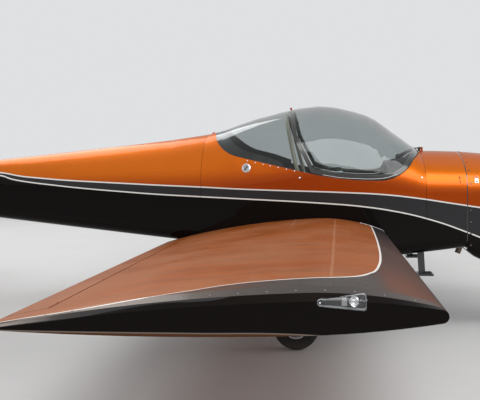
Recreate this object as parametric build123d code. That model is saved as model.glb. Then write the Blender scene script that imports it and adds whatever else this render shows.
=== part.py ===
from build123d import *
from math import atan2, cos, degrees, radians, sin, sqrt, tan
import os

# A small low-wing aeroplane with two seats side by side, on a nosewheel
# undercarriage. Millimetres, +X forward, +Y to port, +Z up, ground at z = 0.
# Lengths along the fuselage are given ahead of the wing's leading edge.

# Overall stations
SPINNER_AHEAD = 1600
RUDDER_BEHIND = 4200
WING_X = (RUDDER_BEHIND - SPINNER_AHEAD) / 2
SIDES = {"right": -1, "left": 1}

# Running clearances
PIN_CLEARANCE = 0.08
PANEL_GAP = 6
SOFT_GAP = 0.3
TRIM_GAP = 0.3
FAR = 900
SKY_Z = 1800

# Fuselage sections, from the tail post to the windscreen's foot:
# ahead, half width, belly, top of straight side, crown, shoulder radius, chine radius
TAIL_AHEAD = -3905
SEAM_AHEAD = -1285
SCREEN_AHEAD = 280
FIREWALL_AHEAD = 550
CABIN_SECTIONS = [
    (TAIL_AHEAD, 60, 912, 1122, 1177, 30, 40),
    (-3100, 190, 820, 1075, 1247, 110, 75),
    (-2200, 345, 728, 1040, 1325, 190, 90),
    (SEAM_AHEAD, 475, 635, 1035, 1420, 260, 90),
    (-900, 515, 590, 1060, 1533, 320, 90),
    (-450, 530, 548, 1110, 1613, 330, 90),
    (-100, 530, 541, 1060, 1535, 330, 90),
    (100, 525, 547, 1025, 1398, 290, 90),
    (SCREEN_AHEAD, 518, 566, 985, 1262, 210, 90),
]
SCUTTLE_SECTIONS = [
    CABIN_SECTIONS[-1],
    (400, 513, 580, 980, 1259, 208, 90),
    (FIREWALL_AHEAD, 505, 598, 975, 1252, 206, 90),
]
SECTION_STEPS = 3
MINIMUM_ROUND = 10
CABIN_WALL = 15
TAIL_SKIN = 6
TAIL_HOLLOW_AHEAD = -3450
BULKHEAD = 6
FLOOR_Z = 600
DECK_SPLIT_Z = 985
FIREWALL_THICKNESS = 6

# Cowling sections, same columns
COWL_SECTIONS = [
    (FIREWALL_AHEAD + FIREWALL_THICKNESS, 505, 575, 970, 1252, 206, 80),
    (660, 500, 508, 965, 1242, 205, 80),
    (900, 474, 500, 960, 1216, 200, 90),
    (1110, 410, 545, 955, 1186, 182, 100),
    (1240, 346, 622, 952, 1155, 158, 112),
    (1305, 294, 690, 950, 1126, 132, 112),
    (1325, 258, 728, 950, 1106, 112, 100),
]
COWL_STEPS = 2
COWL_WALL = 8
COWL_SPLIT_Z = 930
SHAFT_OPENING = 70
AIR_INLET_Y = 190
AIR_INLET_Z = 985
AIR_INLET_HALF_WIDTH = 50
AIR_INLET_HALF_HEIGHT = 38
INLET_LIP = 7
INLET_LIP_PROUD = 8
CHIN_INLET_Z = 775
CHIN_INLET_WIDTH = 190
CHIN_INLET_HEIGHT = 42
OUTLET_HALF_WIDTH = 250
OUTLET_LENGTH = 105
OUTLET_TOP_Z = 570
LEG_OPENING = 46

# Canopy, rear window and their frames, seen from the side
CANOPY_FRAME_WIDTH = 30
CANOPY_FRAME_DEPTH = 14
GLASS_THICKNESS = 4
CANOPY_HINGE_AHEAD = 300
CANOPY_HINGE_Z = 1282
CANOPY_PIN = 4
CANOPY_STRAP_Y = 60
CANOPY_STRAP_WIDTH = 20
CANOPY_STRAP_EYE = 9
CANOPY_STRAP_LENGTH = 48
CANOPY_POST_Y = 81
CANOPY_POST_WIDTH = 10
CANOPY_POST_HALF = 8
CANOPY_POST_DROP = 40
SILL_FOOT = (-505, 1127)
SILL_MIDDLE = (-270, 1085)
SILL_LOW = (-25, 1071)
SCREEN_CORNER = (125, 1120)
SCREEN_TOP = (205, 1206)
BOW_KINK = (-633, 1390)
BOW_TOP = (-672, 1600)
WINDOW_TOP = (-1222, 1430)
WINDOW_CORNER = (-1150, 1320)
WINDOW_LOW = (-1020, 1252)
WINDOW_LEAN = 15
BOW_LEAN = 35

# Wing
CHORD = 1550
ROOT_Y = 530
WING_STUB = 130
TIP_Y = 3276
TIP_CAP = 90
WING_Z = 699
DIHEDRAL = 2.0
INCIDENCE = 2.1
ROOT_UPPER = 135
ROOT_LOWER = 85
TIP_UPPER = 98
TIP_LOWER = 56
ROOT_NOSE = 42
TIP_NOSE = 27
CREST = 0.3
EDGE_HALF = 4
TIP_ROUND = 25
TIP_SHOULDER_UPPER = 86
TIP_SHOULDER_LOWER = 54
TIP_FACE_UPPER = 62
TIP_FACE_LOWER = 50
TIP_FACE_NOSE = 22
TIP_TAPER = 40
TIP_SHOULDER_TAPER = 13
TIP_LAMP_FRONT = -253
TIP_LAMP_RISE = 137
TIP_LAMP_LENGTH = 159
TIP_LAMP_HEIGHT = 54
TIP_LAMP_END_HEIGHT = 23
TIP_LAMP_CORNER = 10
TIP_LAMP_DEPTH = 30
TIP_LAMP_PROUD = 4
CONTROL_CHORD = 165
FLAP_INNER_Y = 560
FLAP_OUTER_Y = 1740
AILERON_INNER_Y = 1752
AILERON_OUTER_Y = 3080
AILERON_TRAVEL = 20
HINGE_DEPTH = 6
HINGE_PLACES = (0.08, 0.5, 0.92)
HINGE_ROD = 3.5
HINGE_EYE = 6.5
HINGE_ARM = 4
HINGE_NOTCH = 14
CONTROL_NEAR = 40
CONTROL_DEEP = 110
CONTROL_REACH = 400
SHROUD_GAP = 9.5

# Tail
TAILPLANE_AHEAD = -3210
TAILPLANE_Z = 1088
TAILPLANE_SPAN = 2300
TAILPLANE_CHORD = 700
TAILPLANE_HALF = 25
TAIL_NOSE_RADIUS = 16
TAIL_SHROUD_RADIUS = 22
TAIL_GAP_AFT = 12
TAIL_SECTION_NOSE = 12
ELEVATOR_CHORD = 220
ELEVATOR_INNER_Y = 108
TORQUE_TUBE = 12
RUDDER_HINGE_AHEAD = -3930
RUDDER_BOTTOM = 930
RUDDER_HALF = 15
RUDDER_EDGE_HALF = 3
RUDDER_ARM_REACH = 45
RUDDER_NOTCH = 30
RUDDER_HINGE_PLACES = (0.04, 0.55, 0.9)
FIN_BOTTOM = 1120
FIN_TOP = 1940
FIN_ROUND = 45
FIN_ROOT_AHEAD = -3180
FIN_TIP_AHEAD = -3560
FIN_CROWN_AHEAD = -3605
FIN_ROOT_HALF = 30
FIN_TIP_HALF = 22
FIN_CROWN_HALF = 12
FIN_NOSE = 10
FIN_NOSE_SHARE = 0.8
RUDDER_TIP_CHORD = 215

# Undercarriage
WHEEL_RADIUS = 150
TYRE_WIDTH = 92
TYRE_PROFILE = [
    # radius, share of the half width
    (116, 1.0),
    (134, 0.88),
    (144, 0.60),
    (WHEEL_RADIUS, 0.22),
]
RIM_RADIUS = 74
RIM_HALF_WIDTH = 34
RIM_WALL = 8
DISC_RADIUS = 58
DISC_HALF = 7
HUB_RADIUS = 24
HUB_WIDTH = 84
AXLE_RADIUS = 12
AXLE_PROUD = 8
MAIN_WHEEL_AHEAD = -600
MAIN_WHEEL_Y = 905
LEG_CHORD = 96
LEG_END_CHORD = 64
LEG_THICKNESS = 22
LEG_ROOT_Y = 250
LEG_BEND_Y = 400
LEG_END_Y = 842
LEG_BEND_RADIUS = 60
LEG_TOP_Z = 554
LEG_PAD = 120
LEG_PAD_MARGIN = 10
LEG_PAD_DROP = 8
LEG_PAD_RISE = 60
NOSE_WHEEL_AHEAD = 900
STEER_RAKE = 10
STEER_AHEAD = 884
STEER_Z = 372
STEERER_RADIUS = 18
HOUSING_RADIUS = 28
HOUSING_LENGTH = 290
HOUSING_ARM_HALF = 25
HOUSING_ARM_BOTTOM = 610
HOUSING_ARM_TOP = 650
SPRING_DISCS = 4
SPRING_DISC_RADIUS = 41
SPRING_DISC_THICKNESS = 20
SPRING_DISC_PITCH = 26
SPRING_START = 12
SPRING_DISC_ROUND = 6.5
FORK_THICKNESS = 8
FORK_GAP = 9
FORK_LENGTH = 60
FORK_CROWN = 24
FORK_EYE = 22
FORK_TOP = 26
BEARING_GAP = 0.3

# Engine, propeller and spinner
THRUST_Z = 950
ENGINE_BOTTOM = 735
ENGINE_TOP = 1080
ENGINE_HALF_WIDTH = 240
ENGINE_FRONT = 1170
ENGINE_MOUNT_LENGTH = 60
ENGINE_MOUNT_RADIUS = 18
ENGINE_MOUNT_Y = 190
ENGINE_MOUNTS_Z = (780, 1030)
REDUCTION_RADIUS = 46
PIPE_RADIUS = 22
PIPE_WALL = 3
PIPE_Y = 175
PIPE_TOP_AHEAD = 720
PIPE_END = (600, 465)
PROPELLER_RADIUS = 750
PROPELLER_AHEAD = 1400
BLADES = 3
SPINNER_RADIUS = 135
SPINNER_BACK = 1345
SPINNER_WALL = 4
SPINNER_PLATE = 12
SPINNER_TIP = 14
SPINNER_SWELL = (0.55, 0.80)
HUB_BLOCK_RADIUS = 62
HUB_BLOCK_AHEAD = 45
SHAFT_RADIUS = 30
SHANK_RADIUS = 27
SHANK_LENGTH = 175
SHANK_GAP = 9
BLADE_TURN = 60
LENS_UPPER = 0.62
BLADE_SECTIONS = [
    # radius, chord, thickness, pitch angle
    (150, 74, 30, 44),
    (330, 118, 20, 30),
    (560, 96, 12, 20),
    (PROPELLER_RADIUS, 44, 5, 15),
]

# Cabin fittings
SEAT_WIDTH = 405
SEAT_Y = 222
SEAT_FRONT = -250
SEAT_REAR = -760
SEAT_BASE_TOP = 700
SEAT_BASE_HALF = 455
CUSHION = 95
BACK_TOP_Z = 1200
BACK_LEAN = 190
BACK_THICKNESS = 80
BACK_FOOT = 100
PANEL_AHEAD = 100
PANEL_BOTTOM = 860
PANEL_THICKNESS = 6
HOOD_Z = 1045
HOOD_REAR = 40
HOOD_THICKNESS = 8
HOOD_END = 10
STICK_AHEAD = -140
STICK_FOOT_HALF = 30
STICK_FOOT_HEIGHT = 25
STICK_LEAN = 35
STICK_RADIUS = 10
STICK_TOP_Z = 860
GRIP_LEAN = 13
GRIP_RADIUS = 18
GRIP_LENGTH = 100
ROLL_BAR_RADIUS = 14
ROLL_BAR_HALF = 470
ROLL_BAR_RISE = 480
ROLL_BAR_CORNER = 340
ROLL_BAR_SPRING_Z = 1080
ROLL_BAR_TOP = (-693, 1568)
ROLL_BAR_FOOT = (-603, 1177)
STEP_Y = 400
STEP_BAR_AHEAD = 228
STEP_BAR_WIDTH = 46
STEP_BAR_LEAN = 12
STEP_BAR_THICKNESS = 10
STEP_BAR_TOP_Z = 600
STEP_Z = 400
STEP_THICKNESS = 12
STEP_LENGTH = 108
STEP_HALF_WIDTH = 60
CAP_AHEAD = -953
CAP_Z = 1173
CAP_RADIUS = 31
CAP_HEIGHT = 3
CAP_SPAN = (400, 600)
TIE_DOWN_HOLE = 7
TIE_DOWN_RADIUS = 16
TIE_DOWN_HEIGHT = 50
TIE_DOWN_Y = 2100
TIE_DOWN_AFT = 620
TIE_DOWN_DROP = 30
TIE_DOWN_THICKNESS = 8


def at(ahead):
    return WING_X + ahead


def box_between(x0, x1, y0, y1, z0, z1):
    centre = ((x0 + x1) / 2, (y0 + y1) / 2, (z0 + z1) / 2)
    return Location(centre) * Box(abs(x1 - x0), abs(y1 - y0), abs(z1 - z0))


def large_radius(half, rise, small):
    """Radius of the arc that leaves a crest level and meets a small end arc smoothly."""
    return (rise ** 2 + (half - small) ** 2 - small ** 2) / (2 * (rise - small))


def rod_between(start, end, radius):
    axis = Vector(*end) - Vector(*start)
    plane = Plane(origin=start, z_dir=axis.normalized())
    return extrude(plane * Circle(radius), amount=axis.length)


def body_outline(half, belly, side_top, crown, shoulder, chine):
    """Closed outline of one fuselage section: two chines, two shoulders and a crown."""
    rise = crown - side_top
    big = large_radius(half, rise, shoulder)
    join = degrees(atan2(big - rise, half - shoulder))
    edges = [
        Line((-half + chine, belly), (half - chine, belly)),
        CenterArc((half - chine, belly + chine), chine, -90, 90),
        Line((half, belly + chine), (half, side_top)),
        CenterArc((half - shoulder, side_top), shoulder, 0, join),
        CenterArc((0, crown - big), big, join, 180 - 2 * join),
        CenterArc((shoulder - half, side_top), shoulder, 180 - join, join),
        Line((-half, side_top), (-half, belly + chine)),
        CenterArc((chine - half, belly + chine), chine, 180, 90),
    ]
    return make_face(Wire(edges))


def monotone_slope(rows, index, column):
    """Slope of one column at a row, with no overshoot between rows."""
    last = len(rows) - 1
    rates = []
    for low in (index - 1, index):
        if 0 <= low < last:
            run = rows[low + 1][0] - rows[low][0]
            rates.append((rows[low + 1][column] - rows[low][column]) / run)
    if len(rates) == 1:
        return rates[0]
    before, after = rates
    if before * after <= 0:
        return 0
    return 2 * before * after / (before + after)


def smoothed(rows, steps):
    """The table's rows, with rows on a smooth curve added between them."""
    result = []
    for index in range(len(rows) - 1):
        low, high = rows[index], rows[index + 1]
        run = high[0] - low[0]
        for step in range(steps):
            t = step / steps
            row = [low[0] + run * t]
            for column in range(1, len(low)):
                slope_low = monotone_slope(rows, index, column) * run
                slope_high = monotone_slope(rows, index + 1, column) * run
                row.append(
                    (2 * t ** 3 - 3 * t ** 2 + 1) * low[column]
                    + (t ** 3 - 2 * t ** 2 + t) * slope_low
                    + (3 * t ** 2 - 2 * t ** 3) * high[column]
                    + (t ** 3 - t ** 2) * slope_high)
            result.append(row)
    result.append(rows[-1])
    return result


def section_plane(ahead):
    return Plane(origin=(at(ahead), 0, 0), x_dir=(0, 1, 0), z_dir=(1, 0, 0))


def body_loft(sections, inset=0):
    faces = []
    for ahead, half, belly, side_top, crown, shoulder, chine in sections:
        outline = body_outline(
            half - inset, belly + inset, side_top, crown - inset,
            max(shoulder - inset, MINIMUM_ROUND), max(chine - inset, MINIMUM_ROUND),
        )
        faces.append(section_plane(ahead) * outline)
    return loft(faces, ruled=True)


def cabin_loft(inset=0):
    return body_loft(smoothed(CABIN_SECTIONS, SECTION_STEPS), inset)


def cowl_loft(inset=0):
    return body_loft(smoothed(COWL_SECTIONS, COWL_STEPS), inset)


def side_point(point):
    return (at(point[0]), point[1])


def side_face(edges):
    return make_face(Wire(edges))


def through(face):
    """A side-view face carried right across the aeroplane."""
    return extrude(Plane.XZ * face, amount=FAR, both=True)


def sill_edges():
    """The edge of the glazing on the fuselage, from the rear window's top to the deck."""
    return [
        Line(side_point((WINDOW_TOP[0] - WINDOW_LEAN, SKY_Z)), side_point(WINDOW_TOP)),
        ThreePointArc(*map(side_point, (WINDOW_TOP, WINDOW_CORNER, WINDOW_LOW))),
        Line(side_point(WINDOW_LOW), side_point(SILL_FOOT)),
        ThreePointArc(*map(side_point, (SILL_FOOT, SILL_MIDDLE, SILL_LOW))),
        ThreePointArc(*map(side_point, (SILL_LOW, SCREEN_CORNER, SCREEN_TOP))),
        Line(side_point(SCREEN_TOP), side_point((SCREEN_AHEAD, CABIN_SECTIONS[-1][4]))),
    ]


def bow_points():
    """The bow behind the opening canopy, from above the crown down to its kink."""
    return [side_point((BOW_TOP[0] - BOW_LEAN, SKY_Z)), side_point(BOW_TOP), side_point(BOW_KINK)]


def glazing_corners():
    """The canopy's front tip, the corner above it and the corner above the rear window."""
    tip = side_point((SCREEN_AHEAD, CABIN_SECTIONS[-1][4]))
    corner = side_point((SCREEN_AHEAD, SKY_Z))
    rear = side_point((WINDOW_TOP[0] - WINDOW_LEAN, SKY_Z))
    return tip, corner, rear


def glazing_face():
    """Everything above the sill, seen from the side."""
    tip, corner, rear = glazing_corners()
    return side_face(sill_edges() + [Line(tip, corner), Line(corner, rear)])


def canopy_face():
    """The opening part, ahead of the bow."""
    tip, corner, _ = glazing_corners()
    top, bend, kink = bow_points()
    edges = sill_edges()[3:]
    edges += [Line(tip, corner), Line(corner, top), Line(top, bend)]
    edges += [Line(bend, kink), Line(kink, side_point(SILL_FOOT))]
    return side_face(edges)


def rear_window_face():
    """The fixed part, behind the bow."""
    rear = glazing_corners()[2]
    top, bend, kink = bow_points()
    edges = sill_edges()[:3]
    edges += [Line(side_point(SILL_FOOT), kink), Line(kink, bend)]
    edges += [Line(bend, top), Line(top, rear)]
    return side_face(edges)


def wing_plane(y):
    """Section plane at a spanwise place: local X aft along the chord, local Y up."""
    rise = (abs(y) - ROOT_Y) * tan(radians(DIHEDRAL))
    lean = radians(INCIDENCE)
    return Plane(origin=(WING_X, y, WING_Z + rise), x_dir=(-cos(lean), 0, -sin(lean)), z_dir=(0, 1, 0))


def aerofoil(chord, upper, lower, nose):
    """A section of six edges: nose arc, two arcs above, two below and the trailing edge."""
    crest = CREST * chord
    up = large_radius(crest, upper, nose)
    low = large_radius(crest, lower, nose)
    up_turn = degrees(atan2(up - upper, crest - nose))
    low_turn = degrees(atan2(low - lower, crest - nose))
    tail = chord - crest
    up_tail = (tail ** 2 + (upper - EDGE_HALF) ** 2) / (2 * (upper - EDGE_HALF))
    low_tail = (tail ** 2 + (lower - EDGE_HALF) ** 2) / (2 * (lower - EDGE_HALF))
    up_sweep = degrees(atan2(tail, up_tail - upper + EDGE_HALF))
    low_sweep = degrees(atan2(tail, low_tail - lower + EDGE_HALF))
    edges = [
        CenterArc((nose, 0), nose, 180 - up_turn, up_turn + low_turn),
        CenterArc((crest, low - lower), low, 180 + low_turn, 90 - low_turn),
        CenterArc((crest, low_tail - lower), low_tail, 270, low_sweep),
        Line((chord, -EDGE_HALF), (chord, EDGE_HALF)),
        CenterArc((crest, upper - up_tail), up_tail, 90 - up_sweep, up_sweep),
        CenterArc((crest, upper - up), up, 90, 90 - up_turn),
    ]
    return make_face(Wire(edges))


def wing_thickness(y):
    """Upper and lower ordinates and nose radius at a spanwise place."""
    share = (abs(y) - ROOT_Y) / (TIP_Y - TIP_CAP - ROOT_Y)
    pairs = [(ROOT_UPPER, TIP_UPPER), (ROOT_LOWER, TIP_LOWER), (ROOT_NOSE, TIP_NOSE)]
    return [root + (tip - root) * share for root, tip in pairs]


def wing_section(y):
    return wing_plane(y) * aerofoil(CHORD, *wing_thickness(y))


def wing_surface_point(y, aft, upper_side, depth):
    """A point below the upper skin, or above the lower skin, behind the crest."""
    upper, lower, _ = wing_thickness(y)
    height = upper if upper_side else lower
    tail = CHORD * (1 - CREST)
    radius = (tail ** 2 + (height - EDGE_HALF) ** 2) / (2 * (height - EDGE_HALF))
    skin = height - radius + sqrt(radius ** 2 - (aft - CREST * CHORD) ** 2) - depth
    local = (aft, skin if upper_side else -skin)
    return wing_plane(y).from_local_coords(local)


def hinge_plane(start, end):
    """Plane across a hinge line: local X aft, local Y up, local Z to port."""
    along = (end - start).normalized()
    aft = Vector(-1, 0, 0)
    aft = (aft - along * aft.dot(along)).normalized()
    return Plane(origin=start, x_dir=aft, z_dir=along)


def along_hinge(plane, distance):
    return Plane(origin=plane.origin + plane.z_dir * distance, x_dir=plane.x_dir, z_dir=plane.z_dir)


def rod_on(plane, start, length, radius):
    return extrude(along_hinge(plane, start) * Circle(radius), amount=length)


def hinge_arms(plane, stations, reach):
    """Plates that carry a hinge rod in their eyes."""
    arms = []
    for station in stations:
        foot = along_hinge(plane, station - HINGE_ARM / 2)
        shape = Circle(HINGE_EYE)
        shape += Pos(-reach / 2, 0) * Rectangle(reach, 2 * HINGE_EYE)
        shape -= Circle(HINGE_ROD + PIN_CLEARANCE)
        arms.append(extrude(foot * shape, amount=HINGE_ARM))
    return arms


def hinge_notches(plane, stations, radius):
    """Pockets round the arms, with the hinge rod left standing through them."""
    notches = []
    for station in stations:
        start = station - HINGE_NOTCH / 2
        ring = Circle(radius) - Circle(HINGE_ROD)
        notches.append(extrude(along_hinge(plane, start) * ring, amount=HINGE_NOTCH))
    return notches


def save(name, shape):
    parts = shape.solids() if hasattr(shape, "solids") else shape
    body = parts[0] if len(parts) == 1 else Compound(children=list(parts))
    export_step(body, f"parts/{name}.step")


def joined(shapes):
    result = shapes[0]
    for shape in shapes[1:]:
        result = result + shape
    return result


def minus(shape, cuts):
    for cut in cuts:
        shape = shape - cut
    return shape


# Fuselage
def slab_between(ahead_low, ahead_high, z_low, z_high):
    """A block wider than the aeroplane, between two stations and two heights."""
    return box_between(at(ahead_low), at(ahead_high), -FAR, FAR, z_low, z_high)


def build_fuselage():
    outer = cabin_loft()
    inner = cabin_loft(CABIN_WALL)
    scuttle = body_loft(SCUTTLE_SECTIONS)
    scuttle_inner = body_loft(SCUTTLE_SECTIONS, CABIN_WALL)
    ahead_of_seam = slab_between(SEAM_AHEAD, FIREWALL_AHEAD, 0, SKY_Z)
    behind_seam = slab_between(-RUDDER_BEHIND, SEAM_AHEAD, 0, SKY_Z)
    above_floor = slab_between(-RUDDER_BEHIND, FIREWALL_AHEAD, FLOOR_Z, SKY_Z)
    above_split = slab_between(SCREEN_AHEAD, FIREWALL_AHEAD, DECK_SPLIT_Z, SKY_Z)

    hollow = slab_between(TAIL_HOLLOW_AHEAD, SEAM_AHEAD + MINIMUM_ROUND, 0, SKY_Z)
    tail_cone = (outer & behind_seam) - (cabin_loft(TAIL_SKIN) & hollow) - tail_bore()
    low_arm = hinge_arms(rudder_hinge(), rudder_stations()[:1], RUDDER_ARM_REACH)
    save("tail_cone", joined([tail_cone] + low_arm))
    cabin = (outer & ahead_of_seam) - (inner & above_floor) - through(glazing_face())
    nose = scuttle - (scuttle_inner & above_floor)
    save("cabin_tub", cabin + (nose - above_split))
    save("forward_deck", nose & above_split)

    outline = body_outline(*SCUTTLE_SECTIONS[-1][1:])
    save("firewall", extrude(section_plane(FIREWALL_AHEAD) * outline, amount=FIREWALL_THICKNESS))
    return outer


def tail_bore():
    """Cross tunnel in which the elevator's torque tube turns."""
    x, _, z = elevator_axis()
    return rod_between((x, -FAR, z), (x, FAR, z), TORQUE_TUBE + PIN_CLEARANCE)


# Canopy
def build_canopy(outer):
    frame_inner = cabin_loft(CANOPY_FRAME_DEPTH)
    glass_inner = cabin_loft(GLASS_THICKNESS)
    opening = offset(canopy_face(), amount=-PANEL_GAP)
    pane = offset(opening, amount=-CANOPY_FRAME_WIDTH)
    frame = (outer - frame_inner) & through(opening)
    frame = frame - through(pane)
    save("canopy_frame", joined([frame] + canopy_straps()))
    glass = (outer - glass_inner) & through(pane)
    save("canopy_glass", glass)
    window = (outer - glass_inner) & through(rear_window_face())
    save("rear_window", window)


def canopy_straps():
    """Two straps on the frame's nose that turn on the deck's hinge pin."""
    x, z = at(CANOPY_HINGE_AHEAD), CANOPY_HINGE_Z
    straps = []
    for side in SIDES.values():
        y = side * CANOPY_STRAP_Y - CANOPY_STRAP_WIDTH / 2
        plane = Plane(origin=(x, y, z), x_dir=(-1, 0, 0), z_dir=(0, 1, 0))
        shape = Circle(CANOPY_STRAP_EYE)
        shape += Pos(CANOPY_STRAP_LENGTH / 2, 0) * Rectangle(CANOPY_STRAP_LENGTH, 2 * CANOPY_PIN)
        shape -= Circle(CANOPY_PIN + PIN_CLEARANCE)
        straps.append(extrude(plane * shape, amount=CANOPY_STRAP_WIDTH))
    return straps


def build_canopy_hinge():
    """Pin and its two posts on the deck, ahead of the windscreen."""
    x, z = at(CANOPY_HINGE_AHEAD), CANOPY_HINGE_Z
    reach = CANOPY_POST_Y + CANOPY_POST_WIDTH / 2
    pieces = [rod_between((x, -reach, z), (x, reach, z), CANOPY_PIN)]
    for side in SIDES.values():
        inner, outer_y = side * (reach - CANOPY_POST_WIDTH), side * reach
        pieces.append(box_between(
            x - CANOPY_POST_HALF, x + CANOPY_POST_HALF, inner, outer_y,
            z - CANOPY_POST_DROP, z + CANOPY_POST_HALF))
    save("canopy_hinge", joined(pieces) - body_loft(SCUTTLE_SECTIONS))


# Wings
def tie_down(side, blank):
    """A lug under the wing, with an eye across it."""
    y = side * TIE_DOWN_Y
    skin = wing_surface_point(y, TIE_DOWN_AFT, False, 0)
    eye_z = skin.Z - TIE_DOWN_DROP
    plane = Plane(origin=(skin.X, y, eye_z), x_dir=(1, 0, 0), z_dir=(0, -1, 0))
    shape = Circle(TIE_DOWN_RADIUS)
    shape += Pos(0, TIE_DOWN_HEIGHT / 2) * Rectangle(TIE_DOWN_HEIGHT, TIE_DOWN_HEIGHT)
    shape -= Circle(TIE_DOWN_HOLE)
    return extrude(plane * shape, amount=TIE_DOWN_THICKNESS / 2, both=True) - blank


def tip_cap(side, proud=0):
    """The wing's end piece: a short taper and a flat end face, or a skin that stands proud of it."""
    end = TIP_Y + proud
    base = wing_section(side * (TIP_Y - TIP_CAP))
    shoulder = aerofoil(
        CHORD - TIP_SHOULDER_TAPER, TIP_SHOULDER_UPPER + proud, TIP_SHOULDER_LOWER + proud, TIP_ROUND)
    face = aerofoil(
        CHORD - TIP_TAPER, TIP_FACE_UPPER + proud, TIP_FACE_LOWER + proud, TIP_FACE_NOSE)
    sections = [
        base,
        wing_plane(side * (end - TIP_ROUND)) * shoulder,
        wing_plane(side * end) * face,
    ]
    return loft(sections, ruled=True)


def build_wings(outer):
    eyes = []
    for name, side in SIDES.items():
        inner_y = side * (ROOT_Y - WING_STUB)
        blank = loft([wing_section(inner_y), wing_section(side * (TIP_Y - TIP_CAP))], ruled=True)
        lamp = tip_lamp(side)
        save(f"wing_tip_{name}", tip_cap(side) - lamp)
        save(f"tip_lamp_{name}", lamp & tip_cap(side, TIP_LAMP_PROUD))
        eyes.append(tie_down(side, blank))
        wing = cut_controls(blank, name, side)
        save(f"wing_{name}", wing - outer)
    save("tie_down_eyes", joined(eyes))


def tip_lamp(side):
    """Clear lamp let into the tip: a drop shape, tall and square ahead, small and round aft."""
    front, rear = at(TIP_LAMP_FRONT), at(TIP_LAMP_FRONT - TIP_LAMP_LENGTH)
    middle = WING_Z + TIP_LAMP_RISE
    outline = Polyline(
        (front, middle - TIP_LAMP_HEIGHT / 2), (front, middle + TIP_LAMP_HEIGHT / 2),
        (rear, middle + TIP_LAMP_END_HEIGHT / 2), (rear, middle - TIP_LAMP_END_HEIGHT / 2),
        close=True)
    shape = make_face(outline)
    shape = fillet(shape.vertices(), TIP_LAMP_CORNER)
    inner = Plane(origin=(0, side * (TIP_Y - TIP_LAMP_DEPTH), 0), x_dir=(1, 0, 0), z_dir=(0, -1, 0))
    return extrude(inner * shape, amount=-side * (TIP_LAMP_DEPTH + TIP_ROUND))


def control_spans(side):
    """Hinge end points of the flap and the aileron, from the smaller Y to the larger."""
    aft = CHORD - CONTROL_CHORD
    spans = {}
    for part, inner, outer_y, top in (
        ("flap", FLAP_INNER_Y, FLAP_OUTER_Y, False),
        ("aileron", AILERON_INNER_Y, AILERON_OUTER_Y, True),
    ):
        ends = sorted((side * inner, side * outer_y))
        spans[part] = [wing_surface_point(y, aft, top, HINGE_DEPTH) for y in ends]
    return spans


def control_region(part):
    """What lies behind the hinge, across the hinge line."""
    if part == "flap":
        slope = 0
        low, high = -CONTROL_NEAR, CONTROL_DEEP
    else:
        slope = CONTROL_DEEP * tan(radians(AILERON_TRAVEL))
        low, high = -CONTROL_DEEP, CONTROL_NEAR
    return Polyline(
        (0, high), (0, 0), (slope, low), (CONTROL_REACH, low), (CONTROL_REACH, high), close=True)


def cut_controls(blank, name, side):
    wing = blank
    for part, (start, end) in control_spans(side).items():
        plane = hinge_plane(start, end)
        length = (end - start).length
        stations = [length * share for share in HINGE_PLACES]
        region = extrude(plane * make_face(control_region(part)), amount=length)
        rod = rod_on(plane, 0, length, HINGE_ROD)
        surface = (blank & region) + rod
        surface = minus(surface, hinge_notches(plane, stations, HINGE_NOTCH))
        save(f"{part}_{name}", surface)
        bay = Pos(CONTROL_REACH / 2 - SHROUD_GAP, 0) * Rectangle(CONTROL_REACH, CONTROL_REACH)
        room = along_hinge(plane, -PANEL_GAP)
        wing = wing - extrude(room * bay, amount=length + 2 * PANEL_GAP)
        wing = joined([wing] + hinge_arms(plane, stations, 2 * SHROUD_GAP))
    return wing


# Tail
def elevator_axis():
    """A point on the elevator's hinge line."""
    x = at(TAILPLANE_AHEAD) - (TAILPLANE_CHORD - ELEVATOR_CHORD)
    return (x, 0, TAILPLANE_Z)


def tail_bay():
    """What is cut behind a tail surface's hinge line, round its moving nose."""
    behind = Pos(CONTROL_REACH / 2 - TAIL_GAP_AFT, 0) * Rectangle(CONTROL_REACH, CONTROL_REACH)
    return behind + Circle(TAIL_SHROUD_RADIUS)


def build_tailplane(fuselage):
    x, _, z = elevator_axis()
    half_span = TAILPLANE_SPAN / 2
    plane = hinge_plane(Vector(x, -half_span, z), Vector(x, half_span, z))
    section = Plane(origin=(at(TAILPLANE_AHEAD), -half_span, z), x_dir=(-1, 0, 0), z_dir=(0, 1, 0))
    profile = aerofoil(TAILPLANE_CHORD, TAILPLANE_HALF, TAILPLANE_HALF, TAIL_SECTION_NOSE)
    blank = extrude(section * profile, amount=TAILPLANE_SPAN)
    rear = Pos(CONTROL_REACH / 2 + PANEL_GAP, 0) * Rectangle(CONTROL_REACH, CONTROL_REACH)
    moving = blank & extrude(plane * rear, amount=TAILPLANE_SPAN)
    moving = moving + rod_on(plane, 0, TAILPLANE_SPAN, TAIL_NOSE_RADIUS)
    middle = box_between(
        x - FAR, x + FAR, -ELEVATOR_INNER_Y, ELEVATOR_INNER_Y, z - FAR, z + FAR)
    reach = ELEVATOR_INNER_Y + TAIL_GAP_AFT
    tube = rod_between((x, -reach, z), (x, reach, z), TORQUE_TUBE)
    save("elevator", (moving - middle) + tube)

    room = along_hinge(plane, -PANEL_GAP)
    fixed = blank - extrude(room * tail_bay(), amount=TAILPLANE_SPAN + 2 * PANEL_GAP)
    save("tailplane", fixed - fuselage)


def rudder_hinge():
    """Plane across the rudder's hinge line at its foot: local X aft, local Z up."""
    foot = (at(RUDDER_HINGE_AHEAD), 0, RUDDER_BOTTOM)
    return Plane(origin=foot, x_dir=(-1, 0, 0), z_dir=(0, 0, 1))


def rudder_stations():
    height = FIN_TOP - RUDDER_BOTTOM
    return [height * share for share in RUDDER_HINGE_PLACES]


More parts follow.
